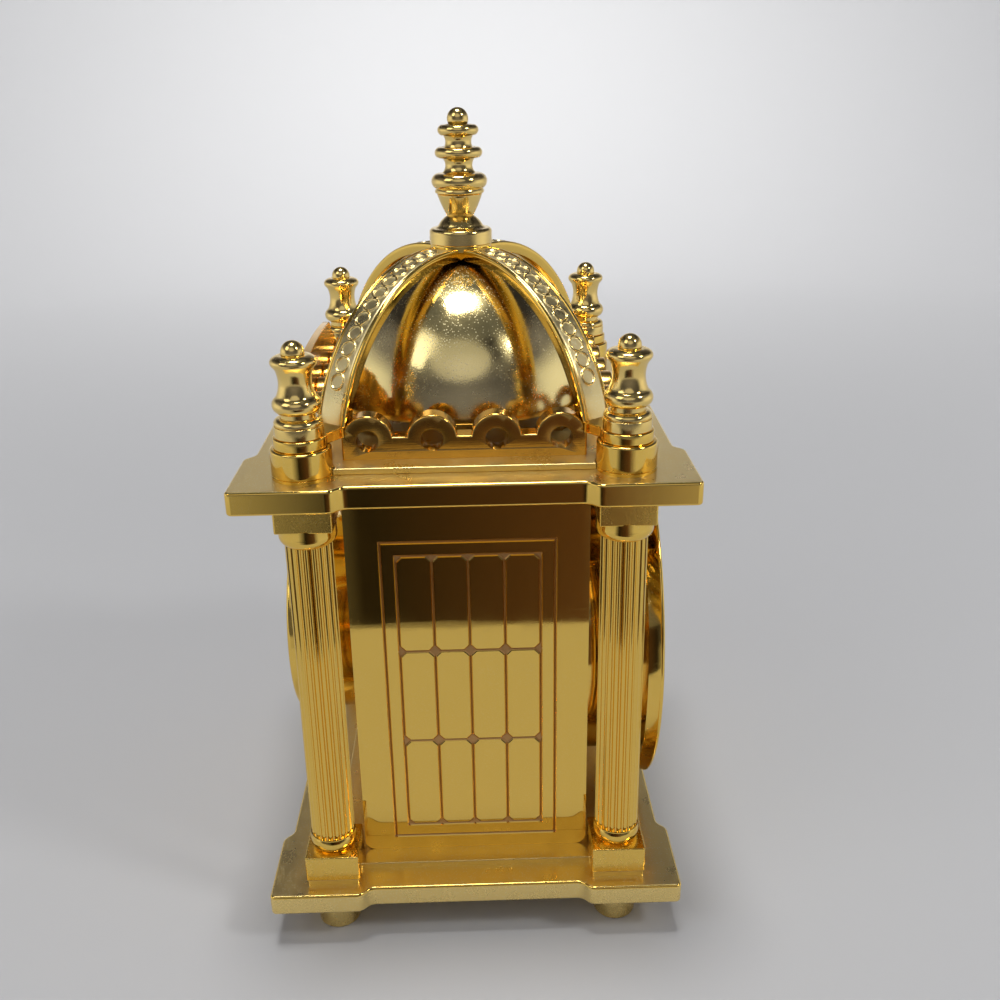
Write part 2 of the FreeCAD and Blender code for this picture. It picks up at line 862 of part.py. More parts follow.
def corner_finial():
    neck_low = finial_neck_height - 0.3
    neck_high = finial_neck_height + 0.3
    flange_low = finial_flange_height - finial_flange_half
    flange_high = finial_flange_height + finial_flange_half
    bulge_low = finial_bulge_height - finial_bulge_half
    bulge_high = finial_bulge_height + finial_bulge_half
    mid_waist = 0.5 * (finial_waist_radius + finial_flange_radius) - 0.22
    ball_foot = on_ball(finial_ball_radius, finial_ball_height, flange_high + 0.25)
    body = revolved((0, 0), [
        (finial_barrel_radius - 0.1, 0),
        (finial_barrel_radius, 0.1),
        (finial_barrel_radius, finial_barrel_top - 0.1),
        (finial_barrel_radius - 0.15, finial_barrel_top),
        (finial_collar_radius - 0.1, finial_barrel_top + 0.05),
        (finial_collar_radius, finial_barrel_top + 0.15),
        (finial_collar_radius, finial_collar_top - 0.1),
        ((finial_collar_radius - 0.25, neck_low - 0.16), (finial_neck_radius, neck_low)),
        (finial_neck_radius, neck_high),
        (finial_neck_radius + 0.25, bulge_low),
        ((finial_bulge_radius, finial_bulge_height), (finial_neck_radius + 0.3, bulge_high)),
        ((finial_waist_radius, finial_waist_height), (mid_waist + 0.1, flange_low - 0.5)),
        (finial_flange_radius - 0.1, flange_low),
        ((finial_flange_radius, finial_flange_height), (finial_flange_radius - 0.3, flange_high)),
        ((0.72 * finial_flange_radius, flange_high + 0.22), ball_foot),
        ((finial_ball_radius, finial_ball_height), (0, finial_ball_height + finial_ball_radius)),
    ])
    return body.cut(rod(rod_hole, -1.0, rod_end_in_finial))


def centre_finial():
    base = spire_base_height
    cup = spire_cup_height
    step = spire_step_height
    wide_low = spire_wide_height - spire_wide_half
    wide_high = spire_wide_height + spire_wide_half
    ring_low = spire_upper_ring_height - spire_upper_ring_half
    ring_high = spire_upper_ring_height + spire_upper_ring_half
    top_low = spire_top_ring_height - spire_top_ring_half
    top_high = spire_top_ring_height + spire_top_ring_half
    cup_middle = 0.5 * (spire_neck_height + cup)
    knob_centre = spire_height - spire_knob_radius
    body = revolved((0, 0), [
        (spire_base_radius, 0),
        (spire_base_radius, base - 0.6),
        ((spire_base_radius - 0.12, base - 0.2), (spire_base_radius - 0.5, base)),
        ((spire_cone_radius + 0.25, base + 0.1), (spire_cone_radius, spire_cone_low)),
        ((spire_cone_radius - 0.55, 0.5 * (spire_cone_low + spire_neck_height) + 0.1),
         (spire_neck_radius, spire_neck_height)),
        ((0.5 * (spire_neck_radius + spire_cup_radius) + 0.08, cup_middle), (spire_cup_radius, cup - 0.05)),
        (spire_cup_radius, cup),
        (spire_cup_radius - 0.15, cup + 0.1),
        (spire_step_radius - 0.2, step - 0.25),
        (spire_step_radius, step - 0.1),
        (spire_step_radius, step + 0.1),
        (spire_step_radius - 0.15, wide_low),
        ((spire_wide_radius, spire_wide_height), (spire_step_radius - 0.6, wide_high)),
        (spire_upper_neck_radius + 0.4, wide_high + 0.05),
        ((spire_upper_neck_radius, spire_upper_neck_height), (spire_upper_neck_radius + 0.2, ring_low - 0.25)),
        (spire_upper_neck_radius + 0.4, ring_low),
        ((spire_upper_ring_radius, spire_upper_ring_height), (spire_upper_neck_radius + 0.35, ring_high)),
        (spire_top_neck_radius + 0.15, ring_high + 0.08),
        ((spire_top_neck_radius, spire_top_neck_height), (spire_top_neck_radius + 0.25, top_low)),
        ((spire_top_ring_radius, spire_top_ring_height), (spire_knob_radius + 0.2, top_high)),
        (spire_knob_radius - 0.25, top_high + 0.05),
        ((spire_knob_radius - 0.06, knob_centre - 0.43), (spire_knob_radius, knob_centre)),
        (on_ball(spire_knob_radius, knob_centre, knob_centre + 0.7 * spire_knob_radius), (0, spire_height)),
    ])
    return body.cut(rod(bell_stud_radius + rod_clearance, -1.0, bell_stud_in_finial))


# Dial, glass and hands, drawn on the local axis
def dial_case():
    inner = dial_case_radius - dial_case_wall
    shell = rod(dial_case_radius, front_panel_plane, dial_case_rim)
    shell = shell.cut(rod(inner, dial_back, dial_case_rim + 1.0))
    shell = shell.cut(rod(inner - dial_ledge, front_panel_plane + dial_case_wall, dial_back + 1.0))
    shell = shell.cut(rod(case_hole, front_panel_plane - 1.0, dial_back))
    return shell.cut(flange_screw_shanks(flange_screw_radius + 0.05))


def dial_plate():
    radius = dial_case_radius - dial_case_wall - dial_gap
    return tube(radius, dial_bore_radius, dial_back, dial_back + dial_thickness)


def dial_ring():
    radius = dial_case_radius - dial_case_wall - dial_gap
    inner = radius - dial_ledge - dial_gap
    return tube(radius, inner, dial_back + dial_thickness, dial_case_rim)


def bezel():
    low = dial_case_rim
    high = low + bezel_thickness
    lip = low + lens_thickness
    seat = lens_radius + dial_gap
    return revolved((seat, low), [
        (bezel_back_radius, low),
        (bezel_radius - 0.1, high - 0.55),
        ((bezel_radius, high - 0.3), (bezel_radius - 0.25, high)),
        (bezel_radius - 1.3, high),
        ((0.5 * (bezel_radius + bezel_opening_radius) - 0.4, high - 0.35),
         (bezel_opening_radius, lip + 0.3)),
        (bezel_opening_radius, lip),
        (seat, lip),
    ])


def lens():
    return rod(lens_radius, dial_case_rim, dial_case_rim + lens_thickness)


def hand(outline_points, hub_radius, bore, front, angle):
    """Flat hand along +Y before it is turned to its angle from upright, counter-clockwise."""
    low = front - hand_thickness
    blade = prism(outline_points, low, front)
    whole = joined([blade, rod(hub_radius, low, front)])
    if bore > 0:
        whole = whole.cut(rod(bore, low - 1.0, front + 1.0))
    return turned_about_z(whole, angle)


def spade_points(length, waist, width):
    head = 0.72 * length
    return [
        (-0.5 * waist, 0), (-0.5 * waist, head - 0.5 * width), (-0.5 * width, head),
        (-0.18 * width, head + 0.5 * width), (0, length),
        (0.18 * width, head + 0.5 * width), (0.5 * width, head), (0.5 * waist, head - 0.5 * width),
        (0.5 * waist, 0),
    ]


def minute_bore():
    return second_arbor_radius + running_clearance


def hour_bore():
    return minute_bore() + minute_pipe_wall + running_clearance


def bush_bore():
    return hour_bore() + hour_pipe_wall + running_clearance


def hour_hand():
    bore = hour_bore() + hour_pipe_wall
    points = spade_points(hour_hand_length, hour_hand_waist, hour_hand_width)
    return hand(points, bore + hand_hub_wall, bore, hour_hand_front, hour_hand_angle)


def minute_hand():
    bore = minute_bore() + minute_pipe_wall
    points = spade_points(minute_hand_length, minute_hand_waist, minute_hand_width)
    return hand(points, bore + hand_hub_wall, bore, minute_hand_front, minute_hand_angle)


def second_hand():
    tail, tip = second_hand_tail_half, second_hand_tip_half
    points = [
        (-tail, -second_hand_tail), (tail, -second_hand_tail),
        (tip, second_hand_length), (-tip, second_hand_length),
    ]
    hub = second_arbor_radius + second_hub_wall
    return hand(points, hub, second_arbor_radius, second_hand_front, second_hand_angle)


# Movement tube and its fastening
def flange_screw_places():
    return [polar(flange_screw_circle, 90 + 360.0 * number / flange_screw_count)
            for number in range(flange_screw_count)]


def flange_front():
    return front_panel_plane + dial_case_wall + flange_thickness


def flange_screw_shanks(radius):
    low = front_panel_plane - panel_thickness - 1.0
    shanks = [rod(radius, low, flange_front(), x, y) for x, y in flange_screw_places()]
    return Part.makeCompound(shanks)


def case_screws():
    low = flange_front()
    screws = []
    for x, y in flange_screw_places():
        head = rod(flange_screw_head, low, low + flange_screw_head_height, x, y)
        across = 2 * flange_screw_head
        slot = block(x - across, x + across, y - screw_slot_half, y + screw_slot_half,
                     low + screw_slot_floor, low + 2 * flange_screw_head_height)
        shank = rod(flange_screw_radius, front_panel_plane - panel_thickness - flange_screw_tail, low, x, y)
        screws.append(joined([head, shank]).cut(slot))
    return Part.makeCompound(screws)


def movement_case():
    inner = case_radius - case_wall
    front_wall = case_front - case_wall
    shell = rod(case_radius, case_rear, case_front)
    flange = rod(flange_radius, flange_front() - flange_thickness, flange_front())
    shell = shell.fuse(flange)
    shell = shell.cut(rod(inner, case_rear - 1.0, main_plate_front))
    shell = shell.cut(rod(inner - case_ledge, main_plate_front - 0.5, front_wall))
    shell = shell.cut(rod(bush_radius + running_clearance, front_wall - 1.0, case_front + 1.0))
    return shell.cut(flange_screw_shanks(flange_screw_radius + 0.05))


def rear_cap():
    skirt_front = rear_cap_face + rear_cap_skirt
    bore = case_radius + running_clearance
    cap = rod(rear_cap_radius, rear_cap_face, skirt_front)
    cap = cap.makeFillet(rear_cap_edge, edges_at_height(cap, rear_cap_face))
    return cap.cut(rod(bore, rear_cap_face + rear_cap_wall, skirt_front + 1.0))


# Movement
def movement_plate_radius():
    return case_radius - case_wall - movement_plate_gap


def pillar_places():
    return [polar(pillar_circle, angle) for angle in pillar_angles]


def setting_place():
    return 0.0, -2 * motion_distance


def minute_wheel_place():
    return 0.0, -motion_distance


def intermediate_place():
    return polar(intermediate_distance, intermediate_angle)


def rotor_place():
    reach = 0.5 * intermediate_module * (intermediate_wheel_teeth + rotor_pinion_teeth)
    x, y = intermediate_place()
    dx, dy = polar(reach, rotor_angle)
    return x + dx, y + dy


def pivot_holes(low, high, places):
    return [rod(arbor_radius + running_clearance, low, high, x, y) for x, y in places]


def neck_holes(low, high):
    radius = pillar_neck_radius + running_clearance
    return [rod(radius, low - 1.0, high + 1.0, x, y) for x, y in pillar_places()]


def main_plate():
    high = main_plate_front
    low = high - main_plate_thickness
    plate = rod(movement_plate_radius(), low, high)
    holes = pivot_holes(low - 1.0, high + 1.0, [minute_wheel_place(), intermediate_place(), rotor_place()])
    holes.append(rod(minute_bore() + minute_pipe_wall + running_clearance, low - 1.0, high + 1.0))
    x, y = setting_place()
    holes.append(rod(setting_stem_radius + running_clearance, low - 1.0, high + 1.0, x, y))
    return plate.cut(Part.makeCompound(holes + neck_holes(low, high)))


def rear_plate():
    high = rear_plate_front
    low = high - rear_plate_thickness
    plate = rod(movement_plate_radius(), low, high)
    holes = pivot_holes(low - 1.0, high + 1.0, [intermediate_place(), rotor_place()])
    holes.append(rod(second_arbor_radius + running_clearance, low - 1.0, high + 1.0))
    x, y = setting_place()
    holes.append(rod(setting_stem_radius + running_clearance, low - 1.0, high + 1.0, x, y))
    return plate.cut(Part.makeCompound(holes + neck_holes(low, high)))


def board_rear():
    return rear_plate_front - rear_plate_thickness - board_thickness


def plate_pillars():
    """Shouldered pillars, each riveted over behind the circuit board."""
    low = board_rear()
    shoulder = main_plate_front - main_plate_thickness
    pillars = []
    for x, y in pillar_places():
        body = rod(pillar_radius, rear_plate_front, shoulder, x, y)
        neck = rod(pillar_neck_radius, low, main_plate_front, x, y)
        head = rod(pillar_head_radius, low - pillar_head_height, low, x, y)
        pillars.append(joined([body, neck, head]))
    return Part.makeCompound(pillars)


def centre_bush():
    wall = case_front - case_wall
    flange = rod(bush_flange_radius, wall - bush_flange_thickness, wall)
    neck = rod(bush_radius, wall, bush_front)
    bush = joined([flange, neck])
    return bush.cut(rod(bush_bore(), wall - bush_flange_thickness - 1.0, bush_front + 1.0))


def motion_module():
    return 2 * motion_distance / (cannon_teeth + minute_wheel_teeth)


def motion_wheel_low():
    return main_plate_front + 0.2


def hour_wheel_low():
    return motion_wheel_low() + wheel_thickness + 0.5


def cannon_pinion():
    low = motion_wheel_low() - 0.1
    teeth = gear(cannon_teeth, motion_module(), low, low + wheel_thickness + 0.3, -90)
    outer = minute_bore() + minute_pipe_wall
    tail = main_plate_front - main_plate_thickness - 0.1
    pipe = rod(outer, tail, minute_hand_front)
    whole = joined([teeth, pipe])
    return whole.cut(rod(minute_bore(), tail - 1.0, minute_hand_front + 1.0))


def hour_wheel():
    low = hour_wheel_low()
    module = 2 * motion_distance / (hour_wheel_teeth + minute_pinion_teeth)
    teeth = gear(hour_wheel_teeth, module, low, low + wheel_thickness, -90)
    pipe = rod(hour_bore() + hour_pipe_wall, low, hour_hand_front)
    whole = joined([teeth, pipe])
    return whole.cut(rod(hour_bore(), low - 1.0, hour_hand_front + 1.0))


def minute_wheel():
    x, y = minute_wheel_place()
    low = motion_wheel_low()
    tooth = 90 + 180.0 / minute_wheel_teeth
    wheel = gear(minute_wheel_teeth, motion_module(), low, low + wheel_thickness, tooth)
    module = 2 * motion_distance / (hour_wheel_teeth + minute_pinion_teeth)
    top = hour_wheel_low() + wheel_thickness + 0.1
    tooth = 90 + 180.0 / minute_pinion_teeth
    pinion = gear(minute_pinion_teeth, module, low + wheel_thickness, top, tooth)
    arbor = rod(arbor_radius, main_plate_front - main_plate_thickness, low)
    return moved(joined([wheel, pinion, arbor]), x, y)


def setting_stem():
    x, y = setting_place()
    low = motion_wheel_low()
    tooth = 90.0
    pinion = gear(setting_teeth, motion_module(), low, low + wheel_thickness, tooth)
    stem = rod(setting_stem_radius, setting_knob_rear + 0.6, low)
    return moved(joined([pinion, stem]), x, y)


def setting_knob():
    x, y = setting_place()
    high = setting_knob_rear + setting_knob_height
    knob = rod(setting_knob_radius, setting_knob_rear, high)
    knob = knob.makeFillet(0.3, edges_at_height(knob, setting_knob_rear))
    ribs = []
    for number in range(18):
        rib_x, rib_y = polar(setting_knob_radius + 0.08, 20.0 * number)
        ribs.append(rod(0.2, setting_knob_rear - 1.0, high + 1.0, rib_x, rib_y))
    knob = knob.cut(Part.makeCompound(ribs))
    knob = knob.cut(rod(setting_stem_radius + 0.02, setting_knob_rear + 0.6, high + 1.0))
    return moved(knob, x, y)


def second_module():
    return 2 * intermediate_distance / (second_wheel_teeth + intermediate_pinion_teeth)


def second_wheel_low():
    return main_plate_front - main_plate_thickness - wheel_thickness - 0.9


def second_wheel():
    low = second_wheel_low()
    wheel = gear(second_wheel_teeth, second_module(), low, low + wheel_thickness, intermediate_angle)
    arbor = rod(second_arbor_radius, rear_plate_front - rear_plate_thickness, second_hand_front)
    return joined([wheel, arbor])


def intermediate_wheel():
    x, y = intermediate_place()
    low = second_wheel_low()
    foot = low - 0.7
    tooth = intermediate_angle + 180 + 180.0 / intermediate_pinion_teeth
    pinion = gear(intermediate_pinion_teeth, second_module(), foot, low + wheel_thickness + 0.2, tooth)
    wheel = gear(intermediate_wheel_teeth, intermediate_module, foot - wheel_thickness, foot, rotor_angle)
    arbor = rod(arbor_radius, rear_plate_front - rear_plate_thickness, main_plate_front)
    return moved(joined([pinion, wheel, arbor]), x, y)


def rotor():
    x, y = rotor_place()
    low = second_wheel_low() - 0.7 - wheel_thickness
    tooth = rotor_angle + 180 + 180.0 / rotor_pinion_teeth
    pinion = gear(rotor_pinion_teeth, intermediate_module, low - 0.2, low + wheel_thickness + 0.1, tooth)
    magnet = rod(rotor_radius, low - 0.2 - rotor_height, low - 0.2)
    arbor = rod(arbor_radius, rear_plate_front - rear_plate_thickness, main_plate_front)
    return moved(joined([pinion, magnet, arbor]), x, y)


def stator_low():
    return second_wheel_low() - 0.7 - wheel_thickness - 0.2 - 0.5 * rotor_height - 0.5 * stator_thickness


def bar(start, end, width, low, high):
    length = math.hypot(end[0] - start[0], end[1] - start[1])
    side = (-(end[1] - start[1]) / length * 0.5 * width, (end[0] - start[0]) / length * 0.5 * width)
    points = [
        (start[0] + side[0], start[1] + side[1]),
        (start[0] - side[0], start[1] - side[1]),
        (end[0] - side[0], end[1] - side[1]),
        (end[0] + side[0], end[1] + side[1]),
    ]
    return prism(points, low, high)


def stator():
    """Flat strip that joins the ends of the coil's core round the rotor's hole."""
    low = stator_low()
    high = low + stator_thickness
    x, y = rotor_place()
    end = 0.5 * coil_length + 0.5 * stator_bar_width + 0.2
    path = [(coil_centre_x, -end), (stator_bar_x, -end), (stator_bar_x, y - stator_disc_radius)]
    path = path + [(x, y), (coil_centre_x, end)]
    pieces = [rod(stator_disc_radius, low, high, x, y)]
    for start, finish in zip(path[:-1], path[1:]):
        pieces.append(bar(start, finish, stator_bar_width, low, high))
    for knee_x, knee_y in path[:3] + path[4:]:
        pieces.append(rod(0.5 * stator_bar_width, low, high, knee_x, knee_y))
    return joined(pieces).cut(rod(rotor_radius + stator_gap, low - 1.0, high + 1.0, x, y))


def coil():
    """Winding on a core whose square ends lie on the stator."""
    floor = stator_low() + stator_thickness
    axis_z = floor + coil_core_radius
    end = 0.5 * coil_length
    start = FreeCAD.Vector(coil_centre_x, -end, axis_z)
    winding = Part.makeCylinder(coil_radius, coil_length, start, FreeCAD.Vector(0, 1, 0))
    reach = end + stator_bar_width
    x = coil_centre_x
    half = coil_core_radius
    core = block(x - half, x + half, -reach, reach, floor, floor + 2 * half)
    return joined([core, winding])


def circuit_board():
    low = board_rear()
    high = low + board_thickness
    board = rod(movement_plate_radius(), low, high)
    x, y = setting_place()
    hole = rod(setting_stem_radius + 0.3, low - 1.0, high + 1.0, x, y)
    return board.cut(Part.makeCompound([hole] + neck_holes(low, high)))


def crystal():
    axis_z = board_rear() - crystal_radius
    start = FreeCAD.Vector(9.0, -0.5 * crystal_length, axis_z)
    can = Part.makeCylinder(crystal_radius, crystal_length, start, FreeCAD.Vector(0, 1, 0))
    return can


def battery_front():
    return board_rear() - contact_rise


def cell_holder():
    inner = battery_radius + cell_holder_gap
    outer = inner + cell_holder_wall
    high = board_rear()
    body = rod(outer, cell_holder_rear, high)
    flange = rod(outer + cell_holder_flange, high - 0.8, high)
    return joined([body, flange]).cut(rod(inner, cell_holder_rear - 1.0, high + 1.0))


def battery():
    tip = battery_front()
    shoulder = tip - battery_nub_height
    body = rod(battery_radius, tip - battery_length, shoulder)
    body = body.makeFillet(0.4, edges_at_height(body, shoulder))
    return joined([body, rod(battery_nub_radius, shoulder - 0.5, tip)])


def cell_contacts():
    """Spring bridge on the battery's front end and a long leaf round to its rear end."""
    half = 0.5 * contact_width
    front = battery_front()
    high = board_rear()
    bridge = block(-half - 1.0, half + 1.0, -half, half, front, front + contact_thickness)
    legs = []
    for side in (-1, 1):
        edge = side * (half + 1.0)
        inner = edge - side * contact_thickness
        legs.append(block(min(edge, inner), max(edge, inner), -half, half, front, high))
    rear = front - battery_length
    arm = block(-half, contact_leg_x, -half, half, rear - contact_thickness, rear)
    inner_x = contact_leg_x - contact_thickness
    leg = block(inner_x, contact_leg_x, -half, half, rear - contact_thickness, high)
    return Part.makeCompound([joined([bridge] + legs), joined([arm, leg])])


# Everything is written out under its own name
def main():
    os.makedirs("parts", exist_ok=True)
    save(base_plate(), "base_plate")
    save(top_plate(), "top_plate")
    save(at_corners(foot()), "feet")
    save(at_corners(tie_rod()), "tie_rods")
    save(at_corners(drum(), top_top), "drums")
    one_column = column()
    one_finial = corner_finial()
    for name, sx, sy in corners:
        x = sx * column_x
        y = sy * column_y
        save(moved(one_column, x, y, pad_top), "column_" + name)
        save(moved(one_finial, x, y, lug_top), "finial_" + name)
    panel = side_panel()
    save(panel, "side_panel_right")
    save(turned_about_z(panel, 180), "side_panel_left")
    save(end_panel(-1), "front_panel")
    save(end_panel(1), "rear_panel")
    save(corner_posts(), "corner_posts")
    save(cage_ring(), "cage_ring")
    save(bell_cage(), "bell_cage")
    save(bell(), "bell")
    save(bell_nut(), "bell_nut")
    save(bell_stud(), "bell_stud")
    save(side_fret(1), "side_fret_right")
    save(side_fret(-1), "side_fret_left")
    save(end_fret(-1), "front_fret")
    save(end_fret(1), "rear_fret")
    save(rear_crest(), "rear_crest")
    save(moved(centre_finial(), 0, 0, spire_foot), "centre_finial")
    on_dial_axis = (
        (dial_case, "dial_case"),
        (dial_plate, "dial_plate"),
        (dial_ring, "dial_ring"),
        (bezel, "bezel"),
        (lens, "lens"),
        (hour_hand, "hour_hand"),
        (minute_hand, "minute_hand"),
        (second_hand, "second_hand"),
        (movement_case, "movement_case"),
        (case_screws, "case_screws"),
        (rear_cap, "rear_cap"),
        (main_plate, "main_plate"),
        (rear_plate, "rear_plate"),
        (plate_pillars, "plate_pillars"),
        (centre_bush, "centre_bush"),
        (cannon_pinion, "cannon_pinion"),
        (minute_wheel, "minute_wheel"),
        (hour_wheel, "hour_wheel"),
        (setting_stem, "setting_stem"),
        (setting_knob, "setting_knob"),
        (second_wheel, "second_wheel"),
        (intermediate_wheel, "intermediate_wheel"),
        (rotor, "rotor"),
        (stator, "stator"),
        (coil, "coil"),
        (circuit_board, "circuit_board"),
        (crystal, "crystal"),
        (cell_holder, "cell_holder"),
        (battery, "battery"),
        (cell_contacts, "cell_contacts"),
    )
    for make, node in on_dial_axis:
        save(facing(make()), node)


main()
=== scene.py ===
import bpy
import bmesh
import math
import numpy as np
from mathutils import Matrix, Vector


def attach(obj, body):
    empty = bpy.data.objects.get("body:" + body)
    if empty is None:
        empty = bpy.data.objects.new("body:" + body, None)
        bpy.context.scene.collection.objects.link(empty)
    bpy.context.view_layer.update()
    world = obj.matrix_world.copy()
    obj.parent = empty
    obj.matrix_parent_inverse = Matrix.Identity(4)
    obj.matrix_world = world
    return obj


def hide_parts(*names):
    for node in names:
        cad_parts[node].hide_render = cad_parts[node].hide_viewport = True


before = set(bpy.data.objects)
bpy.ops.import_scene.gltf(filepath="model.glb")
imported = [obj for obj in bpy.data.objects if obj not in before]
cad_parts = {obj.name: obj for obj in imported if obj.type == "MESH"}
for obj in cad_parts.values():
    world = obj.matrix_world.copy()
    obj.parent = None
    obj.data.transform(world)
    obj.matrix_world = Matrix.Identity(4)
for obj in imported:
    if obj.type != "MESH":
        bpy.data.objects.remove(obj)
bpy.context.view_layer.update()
mm = 0.001
fullTurn = 2 * math.pi

# Places that several pieces share, in millimetres, X to the right of the dial, -Y out of it, Z up
place = {
    "columnX": 26.1,
    "columnY": 19.9,
    "baseLow": 5.4,
    "baseTop": 8.4,
    "padTop": 9.2,
    "topLow": 65.0,
    "topTop": 68.0,
    "drumTop": 71.75,
    "lugTop": 73.15,
    "spireFoot": 92.1,
    "dialHeight": 36.7,
}
cornerSigns = {"front_left": (-1, -1), "front_right": (1, -1), "rear_left": (-1, 1), "rear_right": (1, 1)}


def atCorner(part, corner, height=0.0):
    # moved onto a column's axis
    sx, sy = cornerSigns[corner]
    return moved(part, sx * place["columnX"], sy * place["columnY"], height)


def cornerTurn(corner):
    # direction of a corner seen from above
    sx, sy = cornerSigns[corner]
    return math.atan2(sy * place["columnY"], sx * place["columnX"])


# Lines and outlines
def arcThrough(start, middle, end, steps):
    # circle through three points: its centre is equally far from all three,
    # then the angle runs from the start past the middle to the end
    (ax, ay), (bx, by), (cx, cy) = start, middle, end
    d = 2 * (ax * (by - cy) + bx * (cy - ay) + cx * (ay - by))
    ux = ((ax**2 + ay**2) * (by - cy) + (bx**2 + by**2) * (cy - ay) + (cx**2 + cy**2) * (ay - by)) / d
    uy = ((ax**2 + ay**2) * (cx - bx) + (bx**2 + by**2) * (ax - cx) + (cx**2 + cy**2) * (bx - ax)) / d
    radius = math.hypot(ax - ux, ay - uy)
    first = math.atan2(ay - uy, ax - ux)
    through = (math.atan2(by - uy, bx - ux) - first) % fullTurn
    last = (math.atan2(cy - uy, cx - ux) - first) % fullTurn
    if through > last:
        last -= fullTurn
    angle = first + np.linspace(0, 1, steps + 1)[1:] * last
    return np.stack([ux + radius * np.cos(angle), uy + radius * np.sin(angle)], 1)


def profileLine(start, moves, steps=8):
    # a pair is a straight move, four numbers are a point on an arc and the arc's end
    rows = [np.array([start], float)]
    for move in moves:
        here = tuple(rows[-1][-1])
        if len(move) == 4:
            rows.append(arcThrough(here, move[:2], move[2:], steps))
        else:
            rows.append(np.array([move], float))
    return np.concatenate(rows)


def roundedPolygon(corners, radii, steps=6):
    # each corner becomes an arc of its own radius, tangent to both sides
    corners = np.array(corners, float)
    radii = np.broadcast_to(radii, len(corners))
    rows = []
    for here, before, after, radius in zip(corners, np.roll(corners, 1, 0), np.roll(corners, -1, 0), radii):
        inward = (before - here) / np.linalg.norm(before - here)
        outward = (after - here) / np.linalg.norm(after - here)
        half = 0.5 * math.acos(float(np.clip(inward @ outward, -1, 1)))
        reach = radius / math.tan(half)
        bisector = (inward + outward) / np.linalg.norm(inward + outward)
        centre = here + bisector * radius / math.sin(half)
        middle = centre - bisector * radius
        first, last = here + inward * reach, here + outward * reach
        rows.append(np.array([first]))
        rows.append(arcThrough(tuple(first), tuple(middle), tuple(last), steps))
    return np.concatenate(rows)


def mirroredCorners(quarter):
    # one corner's outline, from the middle of a side to the next, repeated in all four corners
    corners = quarter + [(a, -b) for a, b in reversed(quarter)]
    corners += [(-a, -b) for a, b in quarter] + [(-a, b) for a, b in reversed(quarter)]
    return corners[::-1]


def doubleArea(outline):
    # twice the signed area: the sum of x times the next y, less y times the next x
    x, y = outline.T
    return np.sum(x * np.roll(y, -1) - y * np.roll(x, -1))


# Surfaces
def gridFaces(rows, columns, wrapRows=False):
    # one quad between each pair of neighbouring rows and columns, the last column joined to the first
    i = np.arange(rows if wrapRows else rows - 1)
    a, b = np.meshgrid(i, np.arange(columns), indexing="ij")
    c, d = (a + 1) % rows, (b + 1) % columns
    quads = np.stack([a * columns + b, c * columns + b, c * columns + d, a * columns + d], -1)
    return quads.reshape(-1, 4).tolist()


def turned(profile, segments=96, wrapRows=False):
    # surface of revolution: x = r cos a, y = r sin a, z = height; wrapRows joins the profile's ends
    angle = np.linspace(0, fullTurn, segments, endpoint=False)
    radius, height = profile[:, :1], profile[:, 1:]
    grid = np.stack([radius * np.cos(angle), radius * np.sin(angle), height + 0 * angle], -1)
    return grid.reshape(-1, 3), gridFaces(len(profile), segments, wrapRows)


def slab(outline, low, high, edge, steps=4, rim=0.06):
    # a plate with round rims: over a quarter turn t the outline is pulled in by edge times (1 - sin t) at
    # the foot and by edge times (1 - cos t) at the top, then a flat rim and one face close each end
    along = np.roll(outline, -1, 0) - np.roll(outline, 1, 0)
    along /= np.linalg.norm(along, axis=1, keepdims=True)
    outward = np.stack([along[:, 1], -along[:, 0]], 1) * np.sign(doubleArea(outline))
    t = np.linspace(0, math.pi / 2, steps + 1)
    sine, cosine = np.sin(t), np.cos(t)
    inset = np.concatenate([[edge + rim], edge * (1 - sine), edge * (1 - cosine), [edge + rim]])
    height = np.concatenate([[low], low + edge * (1 - cosine), high - edge * (1 - sine), [high]])
    flat = outline[None] - inset[:, None, None] * outward[None]
    grid = np.concatenate([flat, np.broadcast_to(height[:, None, None], flat.shape[:2] + (1,))], 2)
    count = len(outline)
    faces = gridFaces(len(inset), count)
    faces.append(list(range(count)))
    faces.append(list(range((len(inset) - 1) * count, len(inset) * count)))
    return grid.reshape(-1, 3), faces


def moved(part, x=0.0, y=0.0, z=0.0, turn=0.0):
    # turned about Z, then shifted
    points, faces = part
    cos, sin = math.cos(turn), math.sin(turn)
    spin = np.array([[cos, sin, 0], [-sin, cos, 0], [0, 0, 1]])
    return points @ spin + np.array([x, y, z]), faces


def facing(part):
    # a piece drawn on its own Z axis laid along the dial's axis: (x, y, z) becomes (x, -z, y + height)
    points, faces = part
    x, y, z = points.T
    return np.stack([x, -z, y + place["dialHeight"]], 1), faces


def joined(parts):
    # several shells in one mesh
    points, faces, count = [], [], 0
    for shellPoints, shellFaces in parts:
        points.append(shellPoints)
        faces.extend([[i + count for i in face] for face in shellFaces])
        count += len(shellPoints)
    return np.concatenate(points), faces


